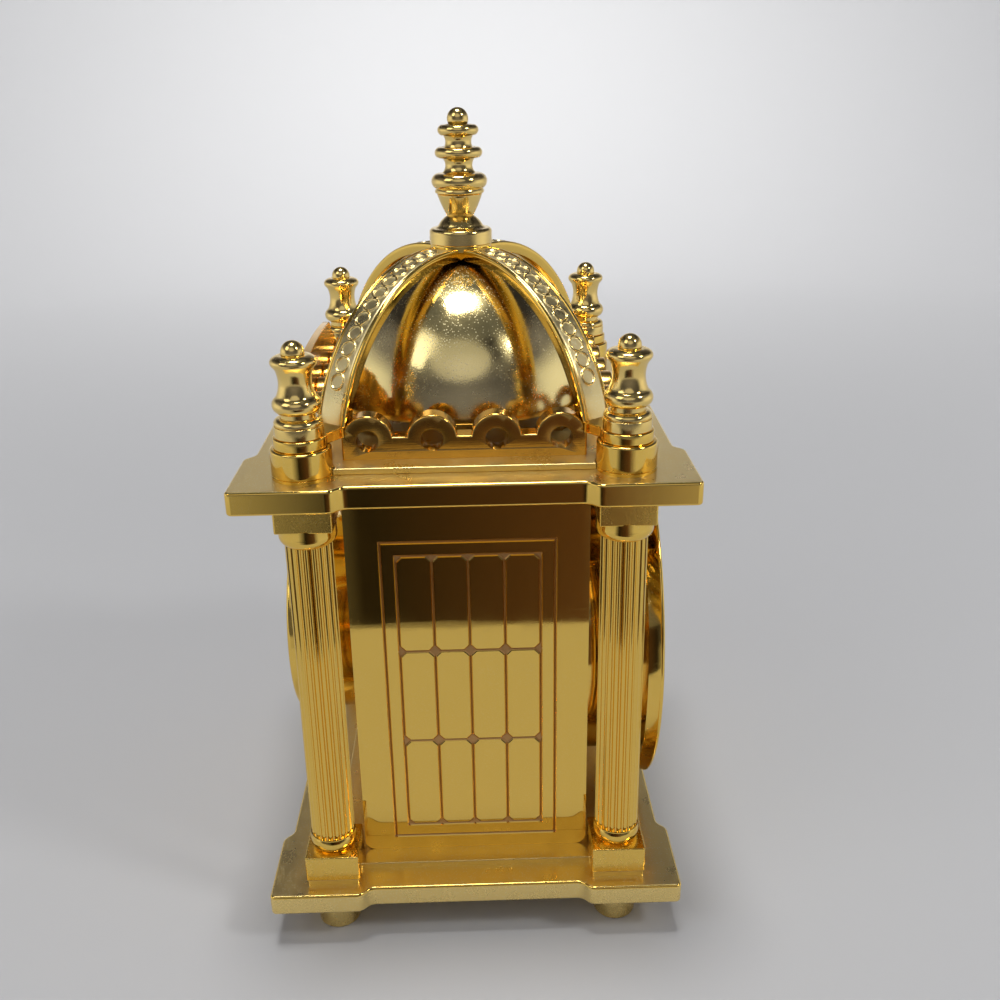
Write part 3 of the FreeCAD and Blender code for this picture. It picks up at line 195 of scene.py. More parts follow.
def addPiece(name, part, materials, body="frame", replaced=(), sharp=38,
             pick=None, flats=False):
    # the welded mesh, its normals outward, smooth up to the sharp angle; pick chooses a material from the
    # faces' centres, and flats keeps large flat faces flat beside their rounded edges
    points, faces = part
    mesh = bpy.data.meshes.new(name)
    mesh.from_pydata((points * mm).tolist(), [], faces)
    if pick:
        centres = np.zeros(len(mesh.polygons) * 3)
        mesh.polygons.foreach_get("center", centres)
        mesh.polygons.foreach_set("material_index", pick(centres.reshape(-1, 3) / mm).astype(np.int32))
    work = bmesh.new()
    work.from_mesh(mesh)
    bmesh.ops.remove_doubles(work, verts=work.verts, dist=2e-6)
    bmesh.ops.dissolve_degenerate(work, edges=work.edges, dist=1e-7)
    bmesh.ops.recalc_face_normals(work, faces=work.faces)
    work.to_mesh(mesh)
    work.free()
    mesh.shade_smooth()
    mesh.set_sharp_from_angle(angle=math.radians(sharp))
    piece = bpy.data.objects.new(name, mesh)
    if flats:
        weights = piece.modifiers.new("flatFaces", "WEIGHTED_NORMAL")
        weights.keep_sharp = True
    bpy.context.scene.collection.objects.link(piece)
    for material in materials if isinstance(materials, list) else [materials]:
        mesh.materials.append(material)
    if replaced:
        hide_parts(*replaced)
    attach(piece, body)


def cutSheet(loops, thickness, edge, steps=3):
    # a flat filled outline with holes and rounded rims, middle plane at z = 0
    curve = bpy.data.curves.new("cutSheet", "CURVE")
    curve.dimensions = "2D"
    curve.fill_mode = "BOTH"
    curve.extrude = 0.5 * thickness - edge
    curve.bevel_depth = edge
    curve.bevel_resolution = steps
    curve.offset = -edge
    for number, loop in enumerate(loops):
        if (doubleArea(loop) > 0) == (number > 0):
            loop = loop[::-1]
        line = curve.splines.new("POLY")
        line.points.add(len(loop) - 1)
        flat = np.concatenate([loop, np.zeros((len(loop), 1)), np.ones((len(loop), 1))], 1)
        line.points.foreach_set("co", flat.ravel())
        line.use_cyclic_u = True
    holder = bpy.data.objects.new("cutSheet", curve)
    bpy.context.scene.collection.objects.link(holder)
    bpy.context.view_layer.update()
    mesh = bpy.data.meshes.new_from_object(holder.evaluated_get(bpy.context.evaluated_depsgraph_get()))
    points = np.zeros(len(mesh.vertices) * 3)
    mesh.vertices.foreach_get("co", points)
    faces = [list(face.vertices) for face in mesh.polygons]
    bpy.data.objects.remove(holder)
    bpy.data.curves.remove(curve)
    bpy.data.meshes.remove(mesh)
    return points.reshape(-1, 3), faces


# Node groups
def newGroup(name, inputs, outputs):
    # a group with the given inputs, whose outputs are all plain numbers
    group = bpy.data.node_groups.new(name, "ShaderNodeTree")
    for label, kind, value in inputs:
        socket = group.interface.new_socket(name=label, in_out="INPUT", socket_type=kind)
        socket.default_value = value
    for label in outputs:
        group.interface.new_socket(name=label, in_out="OUTPUT", socket_type="NodeSocketFloat")
    return group, group.nodes.new("NodeGroupInput"), group.nodes.new("NodeGroupOutput")


def addNode(tree, kind, settings=None, **sockets):
    # sockets are given by name, or as i0, i1 and so on by number; each is a value or a link
    node = tree.nodes.new(kind)
    for key, value in (settings or {}).items():
        setattr(node, key, value)
    for key, value in sockets.items():
        target = node.inputs[int(key[1:])] if key[0] == "i" and key[1:].isdigit() else node.inputs[key]
        if isinstance(value, bpy.types.NodeSocket):
            tree.links.new(value, target)
        else:
            target.default_value = value
    return node


def mathNode(tree, operation, first, second=0.0, clamp=False):
    settings = {"operation": operation, "use_clamp": clamp}
    return addNode(tree, "ShaderNodeMath", settings, i0=first, i1=second).outputs[0]


def rampNode(tree, value, low, high):
    # 0 below low, 1 above high, straight between
    node = addNode(tree, "ShaderNodeMapRange", {"clamp": True}, Value=value)
    node.inputs["From Min"].default_value = low
    node.inputs["From Max"].default_value = high
    return node.outputs[0]


def mixNode(tree, share, first, second):
    # the first colour where share is 0, the second where it is 1; a colour is three numbers or a link
    node = addNode(tree, "ShaderNodeMix", {"data_type": "RGBA"}, i0=share)
    for number, colour in ((6, first), (7, second)):
        if isinstance(colour, bpy.types.NodeSocket):
            tree.links.new(colour, node.inputs[number])
        else:
            node.inputs[number].default_value = (*colour, 1)
    return node.outputs[2]


def objectPlace(tree):
    return addNode(tree, "ShaderNodeTexCoord").outputs["Object"]


satinLook = {
    "cloudScale": 240.0, "cloud": (0.32, 0.70), "speckScale": 3600.0, "speckSize": (0.36, 0.18),
    "speckChance": (0.35, 0.60), "upward": (-0.3, 0.9), "leastCloud": 0.35, "leastUpward": 0.2,
}
scratchLook = {"turn": (0.6, 0.9, 0.4), "stretch": (1.0, 0.05, 1.0), "limits": (0.62, 0.72)}


def makeSatinGroup(spec):
    # fine grain of a blasted surface, slow clouds in it, and sparse bright specks that lie thicker on
    # faces that look up
    inputs = [("Scale", "NodeSocketFloat", 4200.0)]
    group, start, end = newGroup("satinGrain", inputs, ["Grain", "Cloud", "Speck"])
    where = objectPlace(group)
    scale = start.outputs["Scale"]
    grain = addNode(group, "ShaderNodeTexNoise", None, Vector=where, Scale=scale, Detail=1.0)
    cloud = addNode(group, "ShaderNodeTexNoise", None, Vector=where, Scale=spec["cloudScale"], Detail=4.0)
    cloud = rampNode(group, cloud.outputs[0], *spec["cloud"])
    cells = {"feature": "F1"}
    spots = addNode(group, "ShaderNodeTexVoronoi", cells, Vector=where, Scale=spec["speckScale"])
    dot = rampNode(group, spots.outputs["Distance"], *spec["speckSize"])
    chance = addNode(group, "ShaderNodeSeparateColor", None, Color=spots.outputs["Color"])
    chance = rampNode(group, chance.outputs[0], *spec["speckChance"])
    normal = addNode(group, "ShaderNodeNewGeometry").outputs["Normal"]
    look = addNode(group, "ShaderNodeSeparateXYZ", None, Vector=normal)
    upward = rampNode(group, look.outputs["Z"], *spec["upward"])
    clouded = mathNode(group, "ADD", cloud, spec["leastCloud"])
    share = mathNode(group, "MULTIPLY", clouded, mathNode(group, "ADD", upward, spec["leastUpward"]))
    speck = mathNode(group, "MULTIPLY", mathNode(group, "MULTIPLY", dot, chance), share, True)
    group.links.new(grain.outputs[0], end.inputs["Grain"])
    group.links.new(cloud, end.inputs["Cloud"])
    group.links.new(speck, end.inputs["Speck"])
    return group


def makeWearGroup(spec):
    # slow waves of a plated surface, with hair scratches along one slanting direction
    inputs = [("Wave Scale", "NodeSocketFloat", 60.0), ("Scratch Scale", "NodeSocketFloat", 700.0)]
    group, start, end = newGroup("platedWaves", inputs, ["Wave", "Scratch"])
    where = objectPlace(group)
    waveScale, hairScale = start.outputs["Wave Scale"], start.outputs["Scratch Scale"]
    wave = addNode(group, "ShaderNodeTexNoise", None, Vector=where, Scale=waveScale, Detail=1.0)
    squeeze = addNode(group, "ShaderNodeMapping", None, Vector=where)
    squeeze.inputs["Rotation"].default_value = spec["turn"]
    squeeze.inputs["Scale"].default_value = spec["stretch"]
    squeezed = squeeze.outputs[0]
    hair = addNode(group, "ShaderNodeTexNoise", None, Vector=squeezed, Scale=hairScale, Detail=3.0)
    group.links.new(wave.outputs[0], end.inputs["Wave"])
    group.links.new(rampNode(group, hair.outputs[0], *spec["limits"]), end.inputs["Scratch"])
    return group


def makeBrushGroup():
    # straight brush lines: noise squeezed across the brushing direction
    inputs = [("Stretch", "NodeSocketVector", (1.0, 0.04, 1.0)), ("Scale", "NodeSocketFloat", 5000.0)]
    group, start, end = newGroup("brushLines", inputs, ["Lines"])
    stretch, scale = start.outputs["Stretch"], start.outputs["Scale"]
    product = {"operation": "MULTIPLY"}
    squeeze = addNode(group, "ShaderNodeVectorMath", product, i0=objectPlace(group), i1=stretch)
    squeezed = squeeze.outputs[0]
    lines = addNode(group, "ShaderNodeTexNoise", None, Vector=squeezed, Scale=scale, Detail=4.0)
    group.links.new(lines.outputs[0], end.inputs["Lines"])
    return group


satinGroup = makeSatinGroup(satinLook)
wearGroup = makeWearGroup(scratchLook)
brushGroup = makeBrushGroup()


# Materials
def newMaterial(name):
    material = bpy.data.materials.new(name)
    material.use_nodes = True
    return material, material.node_tree, material.node_tree.nodes["Principled BSDF"]


def goldMaterial(name, look):
    # plated gold: specks pale the colour, clouds and specks raise the roughness,
    # and the normal follows slow waves, the satin grain and brush lines
    look = {**polished, **look}
    material, tree, shader = newMaterial(name)
    shader.inputs["Metallic"].default_value = 1.0
    satin = addNode(tree, "ShaderNodeGroup", {"node_tree": satinGroup})
    satin.inputs["Scale"].default_value = look["grainScale"]
    wear = addNode(tree, "ShaderNodeGroup", {"node_tree": wearGroup})
    wear.inputs["Wave Scale"].default_value = look["waveScale"]
    speck = mathNode(tree, "MULTIPLY", satin.outputs["Speck"], look["speck"], True)
    colour = mixNode(tree, speck, look["colour"], look["speckColour"])
    rough = mathNode(tree, "MULTIPLY", satin.outputs["Cloud"], look["cloudRough"])
    rough = mathNode(tree, "ADD", rough, look["rough"])
    rough = mathNode(tree, "ADD", rough, mathNode(tree, "MULTIPLY", speck, look["speckRough"]))
    if look["scratch"]:
        scratch = mathNode(tree, "MULTIPLY", wear.outputs["Scratch"], look["scratch"])
        rough = mathNode(tree, "ADD", rough, scratch)
    if look["grooveDepth"]:
        # engraved floors, told by how far they lie inside the panel's plane, are brown and matt
        axes = addNode(tree, "ShaderNodeSeparateXYZ", None, Vector=objectPlace(tree))
        out = mathNode(tree, "ABSOLUTE", axes.outputs[look["grooveAxis"]])
        inside = rampNode(tree, out, look["groovePlane"] - 0.25 * look["grooveDepth"],
                          look["groovePlane"] - 0.6 * look["grooveDepth"])
        colour = mixNode(tree, inside, colour, look["grooveColour"])
        rough = mathNode(tree, "ADD", rough, mathNode(tree, "MULTIPLY", inside, look["grooveRough"]))
    tree.links.new(colour, shader.inputs["Base Color"])
    tree.links.new(rough, shader.inputs["Roughness"])
    height = mathNode(tree, "MULTIPLY", wear.outputs["Wave"], look["waves"])
    grain = mathNode(tree, "MULTIPLY", satin.outputs["Grain"], look["grain"])
    height = mathNode(tree, "ADD", height, grain)
    if look["brush"]:
        lines = addNode(tree, "ShaderNodeGroup", {"node_tree": brushGroup})
        lines.inputs["Stretch"].default_value = look["brushStretch"]
        brush = mathNode(tree, "MULTIPLY", lines.outputs["Lines"], look["brush"])
        height = mathNode(tree, "ADD", height, brush)
    bump = addNode(tree, "ShaderNodeBump", None, Height=height, Strength=1.0, Distance=1.0)
    tree.links.new(bump.outputs[0], shader.inputs["Normal"])
    return material


polished = {
    "colour": (0.90, 0.60, 0.13), "speckColour": (0.94, 0.82, 0.48), "speck": 0.4, "speckRough": 0.35,
    "rough": 0.07, "cloudRough": 0.06, "scratch": 0.05, "grain": 0.8e-6, "grainScale": 4200.0,
    "waves": 1.6e-5, "waveScale": 90.0, "brush": 0.0, "grooveDepth": 0.0, "groovePlane": 0.0234,
    "grooveAxis": "X", "grooveColour": (0.60, 0.34, 0.13), "grooveRough": 0.4,
}
pale = {"colour": (0.90, 0.68, 0.26), "speck": 1.0, "scratch": 0.0}
mirror = {
    "waves": 1.2e-5, "waveScale": 45.0, "speck": 0.25, "rough": 0.03, "cloudRough": 0.03, "grain": 0.5e-6,
}
brushed = {"colour": (0.84, 0.50, 0.11), "rough": 0.14, "speck": 0.2, "scratch": 0.0, "brush": 7e-6}
goldLooks = {
    "polished": {},
    "finial": {"colour": (0.91, 0.66, 0.22), "rough": 0.11, "grain": 3e-6, "scratch": 0.0},
    "plateTop": {**pale, "rough": 0.26, "cloudRough": 0.12, "grain": 1.0e-5},
    "plateSide": {**pale, "rough": 0.24, "grain": 1.2e-5},
    "mirrorSide": mirror,
    "plinth": {"speck": 0.6, "rough": 0.16, "cloudRough": 0.16, "grain": 5e-6, "waves": 3e-5},
    "strap": {
        **pale, "colour": (0.92, 0.75, 0.36), "speckColour": (0.96, 0.88, 0.62), "rough": 0.26,
        "cloudRough": 0.12, "grain": 1.7e-5,
    },
    "bell": {
        "colour": (0.88, 0.71, 0.31), "speckColour": (0.93, 0.85, 0.58), "speck": 0.7, "rough": 0.10,
        "cloudRough": 0.14, "grain": 6e-6, "waves": 0.6e-5, "scratch": 0.0,
    },
    "fretSide": {**brushed, "brushStretch": (1.0, 0.04, 1.0)},
    "fretEnd": {**brushed, "brushStretch": (0.04, 1.0, 1.0)},
    "sidePanel": {**mirror, "grooveDepth": 0.22e-3},
    "endPanel": {**mirror, "grooveDepth": 0.22e-3, "grooveAxis": "Y", "groovePlane": 0.0159},
}
gold = {key: goldMaterial("gold" + key[0].upper() + key[1:], look) for key, look in goldLooks.items()}


def plainMaterial(name, colour, rough, metallic=0.0, spread=0.12, scale=900.0, bump=4e-6, cloudRough=0.12):
    # one finish with a soft change of colour and roughness over the surface
    material, tree, shader = newMaterial(name)
    shader.inputs["Metallic"].default_value = metallic
    cloud = addNode(tree, "ShaderNodeTexNoise", None, Vector=objectPlace(tree), Scale=scale, Detail=5.0)
    cloud = cloud.outputs[0]
    darker = [channel * (1 - spread) for channel in colour]
    lighter = [min(1.0, channel * (1 + spread)) for channel in colour]
    tree.links.new(mixNode(tree, cloud, darker, lighter), shader.inputs["Base Color"])
    swing = mathNode(tree, "MULTIPLY", cloud, cloudRough)
    roughness = mathNode(tree, "ADD", swing, rough - 0.5 * cloudRough, True)
    tree.links.new(roughness, shader.inputs["Roughness"])
    height = mathNode(tree, "MULTIPLY", cloud, bump)
    raised = addNode(tree, "ShaderNodeBump", None, Height=height, Strength=1.0, Distance=1.0)
    tree.links.new(raised.outputs[0], shader.inputs["Normal"])
    return material


plain = {
    "steel": plainMaterial("drawnSteel", (0.55, 0.55, 0.53), 0.3, 1.0),
    "brass": plainMaterial("stampedBrass", (0.78, 0.57, 0.25), 0.25, 1.0),
    "aluminium": plainMaterial("spunAluminium", (0.78, 0.78, 0.79), 0.28, 1.0),
    "wood": plainMaterial("sawnHardwood", (0.42, 0.25, 0.12), 0.6, 0.0, 0.35, 300.0),
    "dial": plainMaterial("ivoryPaint", (0.85, 0.80, 0.66), 0.38, 0.0, 0.04, 500.0),
    "ink": plainMaterial("dialInk", (0.015, 0.014, 0.013), 0.4, 0.0, 0.1, 900.0),
    "hands": plainMaterial("blackenedSteel", (0.02, 0.02, 0.022), 0.3, 0.0, 0.2, 900.0),
    "blackPlastic": plainMaterial("blackPlastic", (0.02, 0.02, 0.02), 0.5, 0.0, 0.2, 2500.0),
    "board": plainMaterial("greenBoard", (0.03, 0.13, 0.05), 0.35, 0.0, 0.2, 1500.0),
    "copper": plainMaterial("copperWire", (0.75, 0.32, 0.12), 0.3, 1.0, 0.15, 4000.0),
    "tin": plainMaterial("tinnedSheet", (0.68, 0.68, 0.66), 0.33, 1.0),
    "sleeve": plainMaterial("batterySleeve", (0.16, 0.17, 0.20), 0.3, 0.4, 0.1, 700.0),
}


def glassMaterial():
    # clear glass that bends the light only a little
    material, _, shader = newMaterial("flatGlass")
    shader.inputs["Base Color"].default_value = (0.97, 0.99, 0.98, 1)
    shader.inputs["Roughness"].default_value = 0.0
    shader.inputs["Transmission Weight"].default_value = 1.0
    shader.inputs["IOR"].default_value = 1.12
    return material


plain["glass"] = glassMaterial()


def paint(node, material):
    # one material on a solid that stays as it is
    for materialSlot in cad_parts[node].material_slots:
        materialSlot.material = material


def roundEdges(node, width):
    # modifiers alone: the node's own mesh stays as it is
    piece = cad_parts[node]
    weld = piece.modifiers.new("weld", "WELD")
    weld.merge_threshold = 1e-6
    bevel = piece.modifiers.new("roundEdges", "BEVEL")
    bevel.width = width * mm
    bevel.segments = 3
    bevel.limit_method = "ANGLE"
    bevel.angle_limit = math.radians(40)
    piece.modifiers.new("flatFaces", "WEIGHTED_NORMAL")


# Base plate, top plate and feet
plates = {
    "halfX": 32.0, "halfY": 28.5, "lobe": 12.5, "step": 1.35, "blend": 1.6, "cornerRound": 0.75,
    "edge": 0.35, "skin": 0.02, "padX": 26.5, "padY": 20.3, "padCorner": 3.55, "padRound": 0.26,
    "padEdge": 0.16, "padSunk": 0.4,
    "foot": [(2.45, 0), (2.8, 0.15, 2.95, 0.5), (2.95, 5.5), (0, 5.5)],
}


def lobedOutline(spec):
    # corner lobes stand out by the step, with sloping necks, and every turn is an arc
    x, y = spec["halfX"], spec["halfY"]
    nearX, nearY, step = x - spec["lobe"], y - spec["lobe"], spec["step"]
    quarter = [(nearX - step, y - step), (nearX, y), (x, y), (x, nearY), (x - step, nearY - step)]
    corners = mirroredCorners(quarter)
    radii = [spec["cornerRound"] if abs(a) == x and abs(b) == y else spec["blend"] for a, b in corners]
    return roundedPolygon(corners, radii, 8)


def cornerPadOutline(spec):
    # a rectangle with a square standing out at each corner, under the plinths
    x, y, half = spec["padX"], spec["padY"], spec["padCorner"]
    cx, cy = place["columnX"], place["columnY"]
    quarter = [(cx - half, y), (cx - half, cy + half), (cx + half, cy + half), (cx + half, cy - half),
               (x, cy - half)]
    return roundedPolygon(mirroredCorners(quarter), spec["padRound"], 4)


def baseFinish(centre):
    # 1 on the plate's top and the pad, 2 on the plate's upper round edge, 0 below it
    rim, top = place["baseTop"] - plates["edge"], place["baseTop"] - plates["skin"]
    return np.where(centre[:, 2] > top, 1, np.where(centre[:, 2] > rim, 2, 0))


def makePlates(spec):
    outline = lobedOutline(spec)
    base = slab(outline, place["baseLow"], place["baseTop"], spec["edge"])
    pad = slab(cornerPadOutline(spec), place["baseTop"] - spec["padSunk"], place["padTop"], spec["padEdge"])
    addPiece("basePlate", joined([base, pad]), [gold["plateSide"], gold["plateTop"], gold["polished"]],
             replaced=["base_plate"], flats=True, pick=baseFinish)
    addPiece("topPlate", slab(outline, place["topLow"], place["topTop"], spec["edge"]),
             [gold["mirrorSide"], gold["plateTop"]], replaced=["top_plate"], flats=True,
             pick=lambda centre: centre[:, 2] > place["topTop"] - spec["skin"])
    foot = turned(profileLine((0, 0), spec["foot"]))
    addPiece("footSet", joined([atCorner(foot, corner) for corner in cornerSigns]), gold["plateSide"],
             replaced=["feet"])
    print("plates and feet made")


makePlates(plates)


# Columns
columns = {
    "plinthHalf": 3.7, "plinthHigh": 3.8, "abacusHalf": 3.6, "abacusLow": 52.4, "height": 55.8,
    "edge": 0.16, "cornerRound": 0.26, "skin": 0.01,
    "shaft": 2.98, "flutes": 20, "fluteRadius": 0.37, "fluteOut": 0.06, "fluteLow": 6.15,
    "fluteHigh": 50.0, "stemLow": 3.6,
    "foot": [(2.6, 3.6), (2.6, 3.8), (3.15, 4.745, 2.95, 5.9), (3.02, 5.93), (3.1, 6.0), (3.1, 6.12),
             (2.98, 6.15)],
    "capital": [(3.449, 50.432, 3.65, 51.488), (3.65, 52.6), (0, 52.6)],
}


def squareOutline(half, radius):
    return roundedPolygon([(half, half), (-half, half), (-half, -half), (half, -half)], radius, 3)


def makeColumn(spec):
    # lathe profile whose shaft loses a round groove at each flute, cut square at both ends:
    # depth = sqrt(flute radius^2 - across^2) - how far the flute's centre lies outside the shaft
    below = profileLine((0, spec["stemLow"]), spec["foot"], 14)
    above = profileLine((spec["shaft"], spec["fluteHigh"]), spec["capital"], 14)
    reach = math.sqrt(spec["fluteRadius"] ** 2 - spec["fluteOut"] ** 2)
    pitch = fullTurn * spec["shaft"] / spec["flutes"]
    across = np.concatenate([reach * np.sin(np.linspace(-0.5, 0.5, 11) * math.pi), [0.5 * pitch]])
    depth = np.maximum(0, np.sqrt(np.maximum(0, spec["fluteRadius"] ** 2 - across**2)) - spec["fluteOut"])
    angle = ((np.arange(spec["flutes"])[:, None] * pitch + across[None]) / spec["shaft"]).ravel()
    cut = spec["shaft"] - np.tile(depth, spec["flutes"])
    count = len(angle)
    outer = [np.repeat(below[:, :1], count, 1), [cut, cut], np.repeat(above[:, :1], count, 1)]
    radius = np.concatenate(outer)
    height = np.concatenate([below[:, 1], [spec["fluteLow"], spec["fluteHigh"]], above[:, 1]])[:, None]
    grid = np.stack([radius * np.cos(angle), radius * np.sin(angle), height + 0 * angle], -1)
    stem = grid.reshape(-1, 3), gridFaces(len(height), count)
    plinthSquare = squareOutline(spec["plinthHalf"], spec["cornerRound"])
    abacusSquare = squareOutline(spec["abacusHalf"], spec["cornerRound"])
    plinth = slab(plinthSquare, 0, spec["plinthHigh"], spec["edge"])
    abacus = slab(abacusSquare, spec["abacusLow"], spec["height"], spec["edge"])
    return joined([stem, plinth, abacus])


def makeColumns(spec):
    column = makeColumn(spec)
    plinthTop = place["padTop"] + spec["plinthHigh"] + spec["skin"]
    abacusLow = place["padTop"] + spec["abacusLow"] - spec["skin"]
    for corner in cornerSigns:
        addPiece("column_" + corner, atCorner(column, corner, place["padTop"]),
                 [gold["polished"], gold["plinth"]], replaced=["column_" + corner], flats=True,
                 pick=lambda centre: (centre[:, 2] < plinthTop) | (centre[:, 2] > abacusLow))
    print("columns made")


makeColumns(columns)


# Finials, each a lathe profile counted up from its seat
finials = {
    "steps": 12, "segments": 80, "cornerLow": -0.05, "centreLow": -0.02,
    "corner": [
        (2.93, -0.05), (2.93, 0), (3.03, 0.1), (3.03, 1.33), (2.98, 1.42, 2.88, 1.45), (2.88, 1.5),
        (2.98, 1.6), (2.98, 1.8), (2.73, 2.19, 2.15, 2.35), (2.15, 2.95), (2.4, 3.0),
        (3.0, 3.95, 2.45, 4.9), (2.05, 6.15, 2.305, 8.25), (2.7, 8.75), (2.8, 9.2, 2.5, 9.65),
        (2.016, 9.87, 1.381, 9.9), (1.42, 10.23, 0, 11.65),
    ],
    "centre": [
        (4.28, -0.02), (4.28, 1.35), (4.16, 1.75, 3.78, 1.95), (3.31, 2.05, 3.06, 2.25),
        (2.51, 3.0, 1.83, 3.55), (2.52, 4.95, 3.05, 6.3), (3.05, 6.35), (2.9, 6.45), (3.13, 6.5),
        (3.26, 6.53, 3.33, 6.65), (3.33, 6.85), (3.18, 7.1), (3.78, 8.1, 2.73, 9.1), (2.24, 9.15),
        (1.84, 9.95, 2.04, 10.8), (2.24, 11.05), (3.21, 11.7, 2.19, 12.35), (1.9, 12.43),
        (1.75, 13.1, 2.0, 13.86), (2.74, 14.48, 1.62, 15.1), (1.17, 15.15),
        (1.36, 15.55, 1.42, 15.98), (1.004, 16.984, 0, 17.4),
    ],
}


def makeFinials(spec):
    profile = profileLine((0, spec["cornerLow"]), spec["corner"], spec["steps"])
    corner = turned(profile, spec["segments"])
    for name in cornerSigns:
        addPiece("finial_" + name, atCorner(corner, name, place["lugTop"]), gold["finial"],
                 replaced=["finial_" + name])
    profile = profileLine((0, spec["centreLow"]), spec["centre"], spec["steps"])
    centre = turned(profile, spec["segments"])
    addPiece("centreFinial", moved(centre, z=place["spireFoot"]), gold["finial"],
             replaced=["centre_finial"])
    print("finials made")


makeFinials(finials)


# Bell and its cage
bell = {"radius": 18.3, "wall": 0.9, "centre": 71.71}
strap = {
    "offset": 4.16, "centre": 67.53, "radius": 24.13, "thick": 1.6, "half": 2.25, "field": 1.70,
    "satin": 1.76, "rings": 12, "firstRing": math.radians(26.2), "ringPitch": math.radians(5.24),
    "ring": 0.99, "bead": 0.15, "beadHigh": 0.17,
    "border": [1.75, 1.81, 1.87, 1.93, 2.01, 2.08, 2.14, 2.19, 2.225, 2.25],
    "dropAcross": [0, 1.70, 1.75, 1.81, 1.93, 2.08, 2.19, 2.25],
    "drop": [0.1, 0.1, 0.15, 0.04, 0.0, 0.03, 0.11, 0.27],
}
cage = {
    "lugRadius": 3.3, "lugStart": 26.9, "lugEdge": 0.18, "ringX": 26.5, "ringY": 21.9,
    "ringBore": 18.4, "ringThick": 0.8, "ringEdge": 0.14, "drum": 3.76, "drumGap": 0.05,
    "bossLow": 91.2,
    "drumProfile": [(3.76, 0), (3.76, 0.37), (3.66, 0.44), (3.76, 0.51), (3.76, 3.45),
                    (3.673, 3.663, 3.46, 3.75), (0, 3.75)],
    "bossProfile": [(4.2, 91.2), (4.2, 91.9), (4.14, 92.04, 4.0, 92.1), (0, 92.1)],
}


def makeBell(spec):
    # an outer and an inner quarter circle, radius = r cos t and height = c + r sin t, joined by a rolled
    # lip at the mouth and turned about the axis
    r, c, w = spec["radius"], spec["centre"], spec["wall"]
    t = np.linspace(0, math.pi / 2, 49)
    outer = np.stack([r * np.cos(t), c + r * np.sin(t)], 1)
    lip = [(r - 0.13, c - 0.25, r - 0.45, c - 0.32), (r - 0.78, c - 0.2, r - w, c + 0.1)]
    lip = profileLine((r, c), lip, 5)
    inner = np.stack([(r - w) * np.cos(t[1:]), c + (r - w) * np.sin(t[1:])], 1)
    addPiece("bellDome", turned(np.concatenate([outer[::-1], lip[1:], inner]), 160), gold["bell"],
             replaced=["bell"], sharp=60)


def strapDrop(spec, across):
    # how far the outer face lies below its arc: a flat field, a fine line beside it, then a raised
    # border with a round edge, straight between the listed distances from the middle
    return np.interp(np.abs(across), spec["dropAcross"], spec["drop"])


def ringRelief(spec, along, across):
    # round beads along circles that touch like a chain:
    # height = bead height * sqrt(1 - (distance from the circle / half the bead's width)^2)
    pitch = spec["ringPitch"] * spec["radius"]
    first = spec["firstRing"] * spec["radius"]
    nearest = np.clip(np.round((along - first) / pitch), 0, spec["rings"] - 1)
    relief = np.zeros_like(along)
    for shift in (-1, 0, 1):
        number = np.clip(nearest + shift, 0, spec["rings"] - 1)
        gap = (np.hypot(along - first - number * pitch, across) - spec["ring"]) / spec["bead"]
        relief = np.maximum(relief, spec["beadHigh"] * np.sqrt(np.maximum(0, 1 - gap**2)))
    return relief


def makeStrap(spec):
    # cross-section carried along a quarter arc, its foot cut level at the lug's underside:
    # x = offset + r cos a, z = centre + r sin a, and r = radius - drop + relief on the outer face
    # the mesh is fine from just below the first ring to just above the last
    first = spec["firstRing"] - 0.62 * spec["ringPitch"]
    last = first + (spec["rings"] + 0.24) * spec["ringPitch"]
    half, thick, field = spec["half"], spec["thick"], spec["field"]
    border = np.array(spec["border"])
    middle = np.linspace(-1.18, 1.18, 52)
    outer = np.concatenate([-border[::-1], [-field, -1.4], middle, [1.4, field], border])
    across = np.concatenate([outer, [half, half, half, half - 0.12, 0.12 - half, -half, -half, -half]])
    side = np.array([0.72, 0.80, thick - 0.12, thick])
    drop = np.concatenate([strapDrop(spec, outer), side, side[::-1]])
    across[len(outer) + 1] -= 0.05
    across[-2] += 0.05
    start = math.asin((place["drumTop"] - spec["centre"]) / spec["radius"])
    foot = np.linspace(start, first, 18)[1:-1]
    crown = np.linspace(last, math.pi / 2, 10)[1:]
    angle = np.concatenate([[start], foot, np.linspace(first, last, 400), crown])
    a, v = np.meshgrid(angle, across, indexing="ij")
    relief = ringRelief(spec, a * spec["radius"], v)
    relief[:, len(outer):] = 0
    radius = spec["radius"] - drop[None] + relief
    a[0] = np.arcsin((place["drumTop"] - spec["centre"]) / radius[0])
    x = spec["offset"] + radius * np.cos(a)
    z = spec["centre"] + radius * np.sin(a)
    inside = np.stack([np.full(len(across), 0.5), across, z[-1]], -1)[None]
    grid = np.concatenate([np.stack([x, v, z], -1), inside])
    count = len(across)
    faces = gridFaces(len(grid), count)
    # finish of each face: 0 the polished border, 1 the satin field, 2 the rings' beads
    onField = np.abs(across) <= spec["satin"]
    isField = onField & (np.arange(count) < len(outer)) & np.roll(onField, -1)
    finish = np.tile(isField.astype(int), (len(grid) - 1, 1))
    raised = relief[:-1] + relief[1:]
    finish[:-1][raised + np.roll(raised, -1, 1) > 2.2 * spec["beadHigh"]] = 2
    faces.append(list(range(count)))
    faces.append(list(range((len(grid) - 1) * count, len(grid) * count)))
    return (grid.reshape(-1, 3), faces), np.append(finish.ravel(), [0, 0])


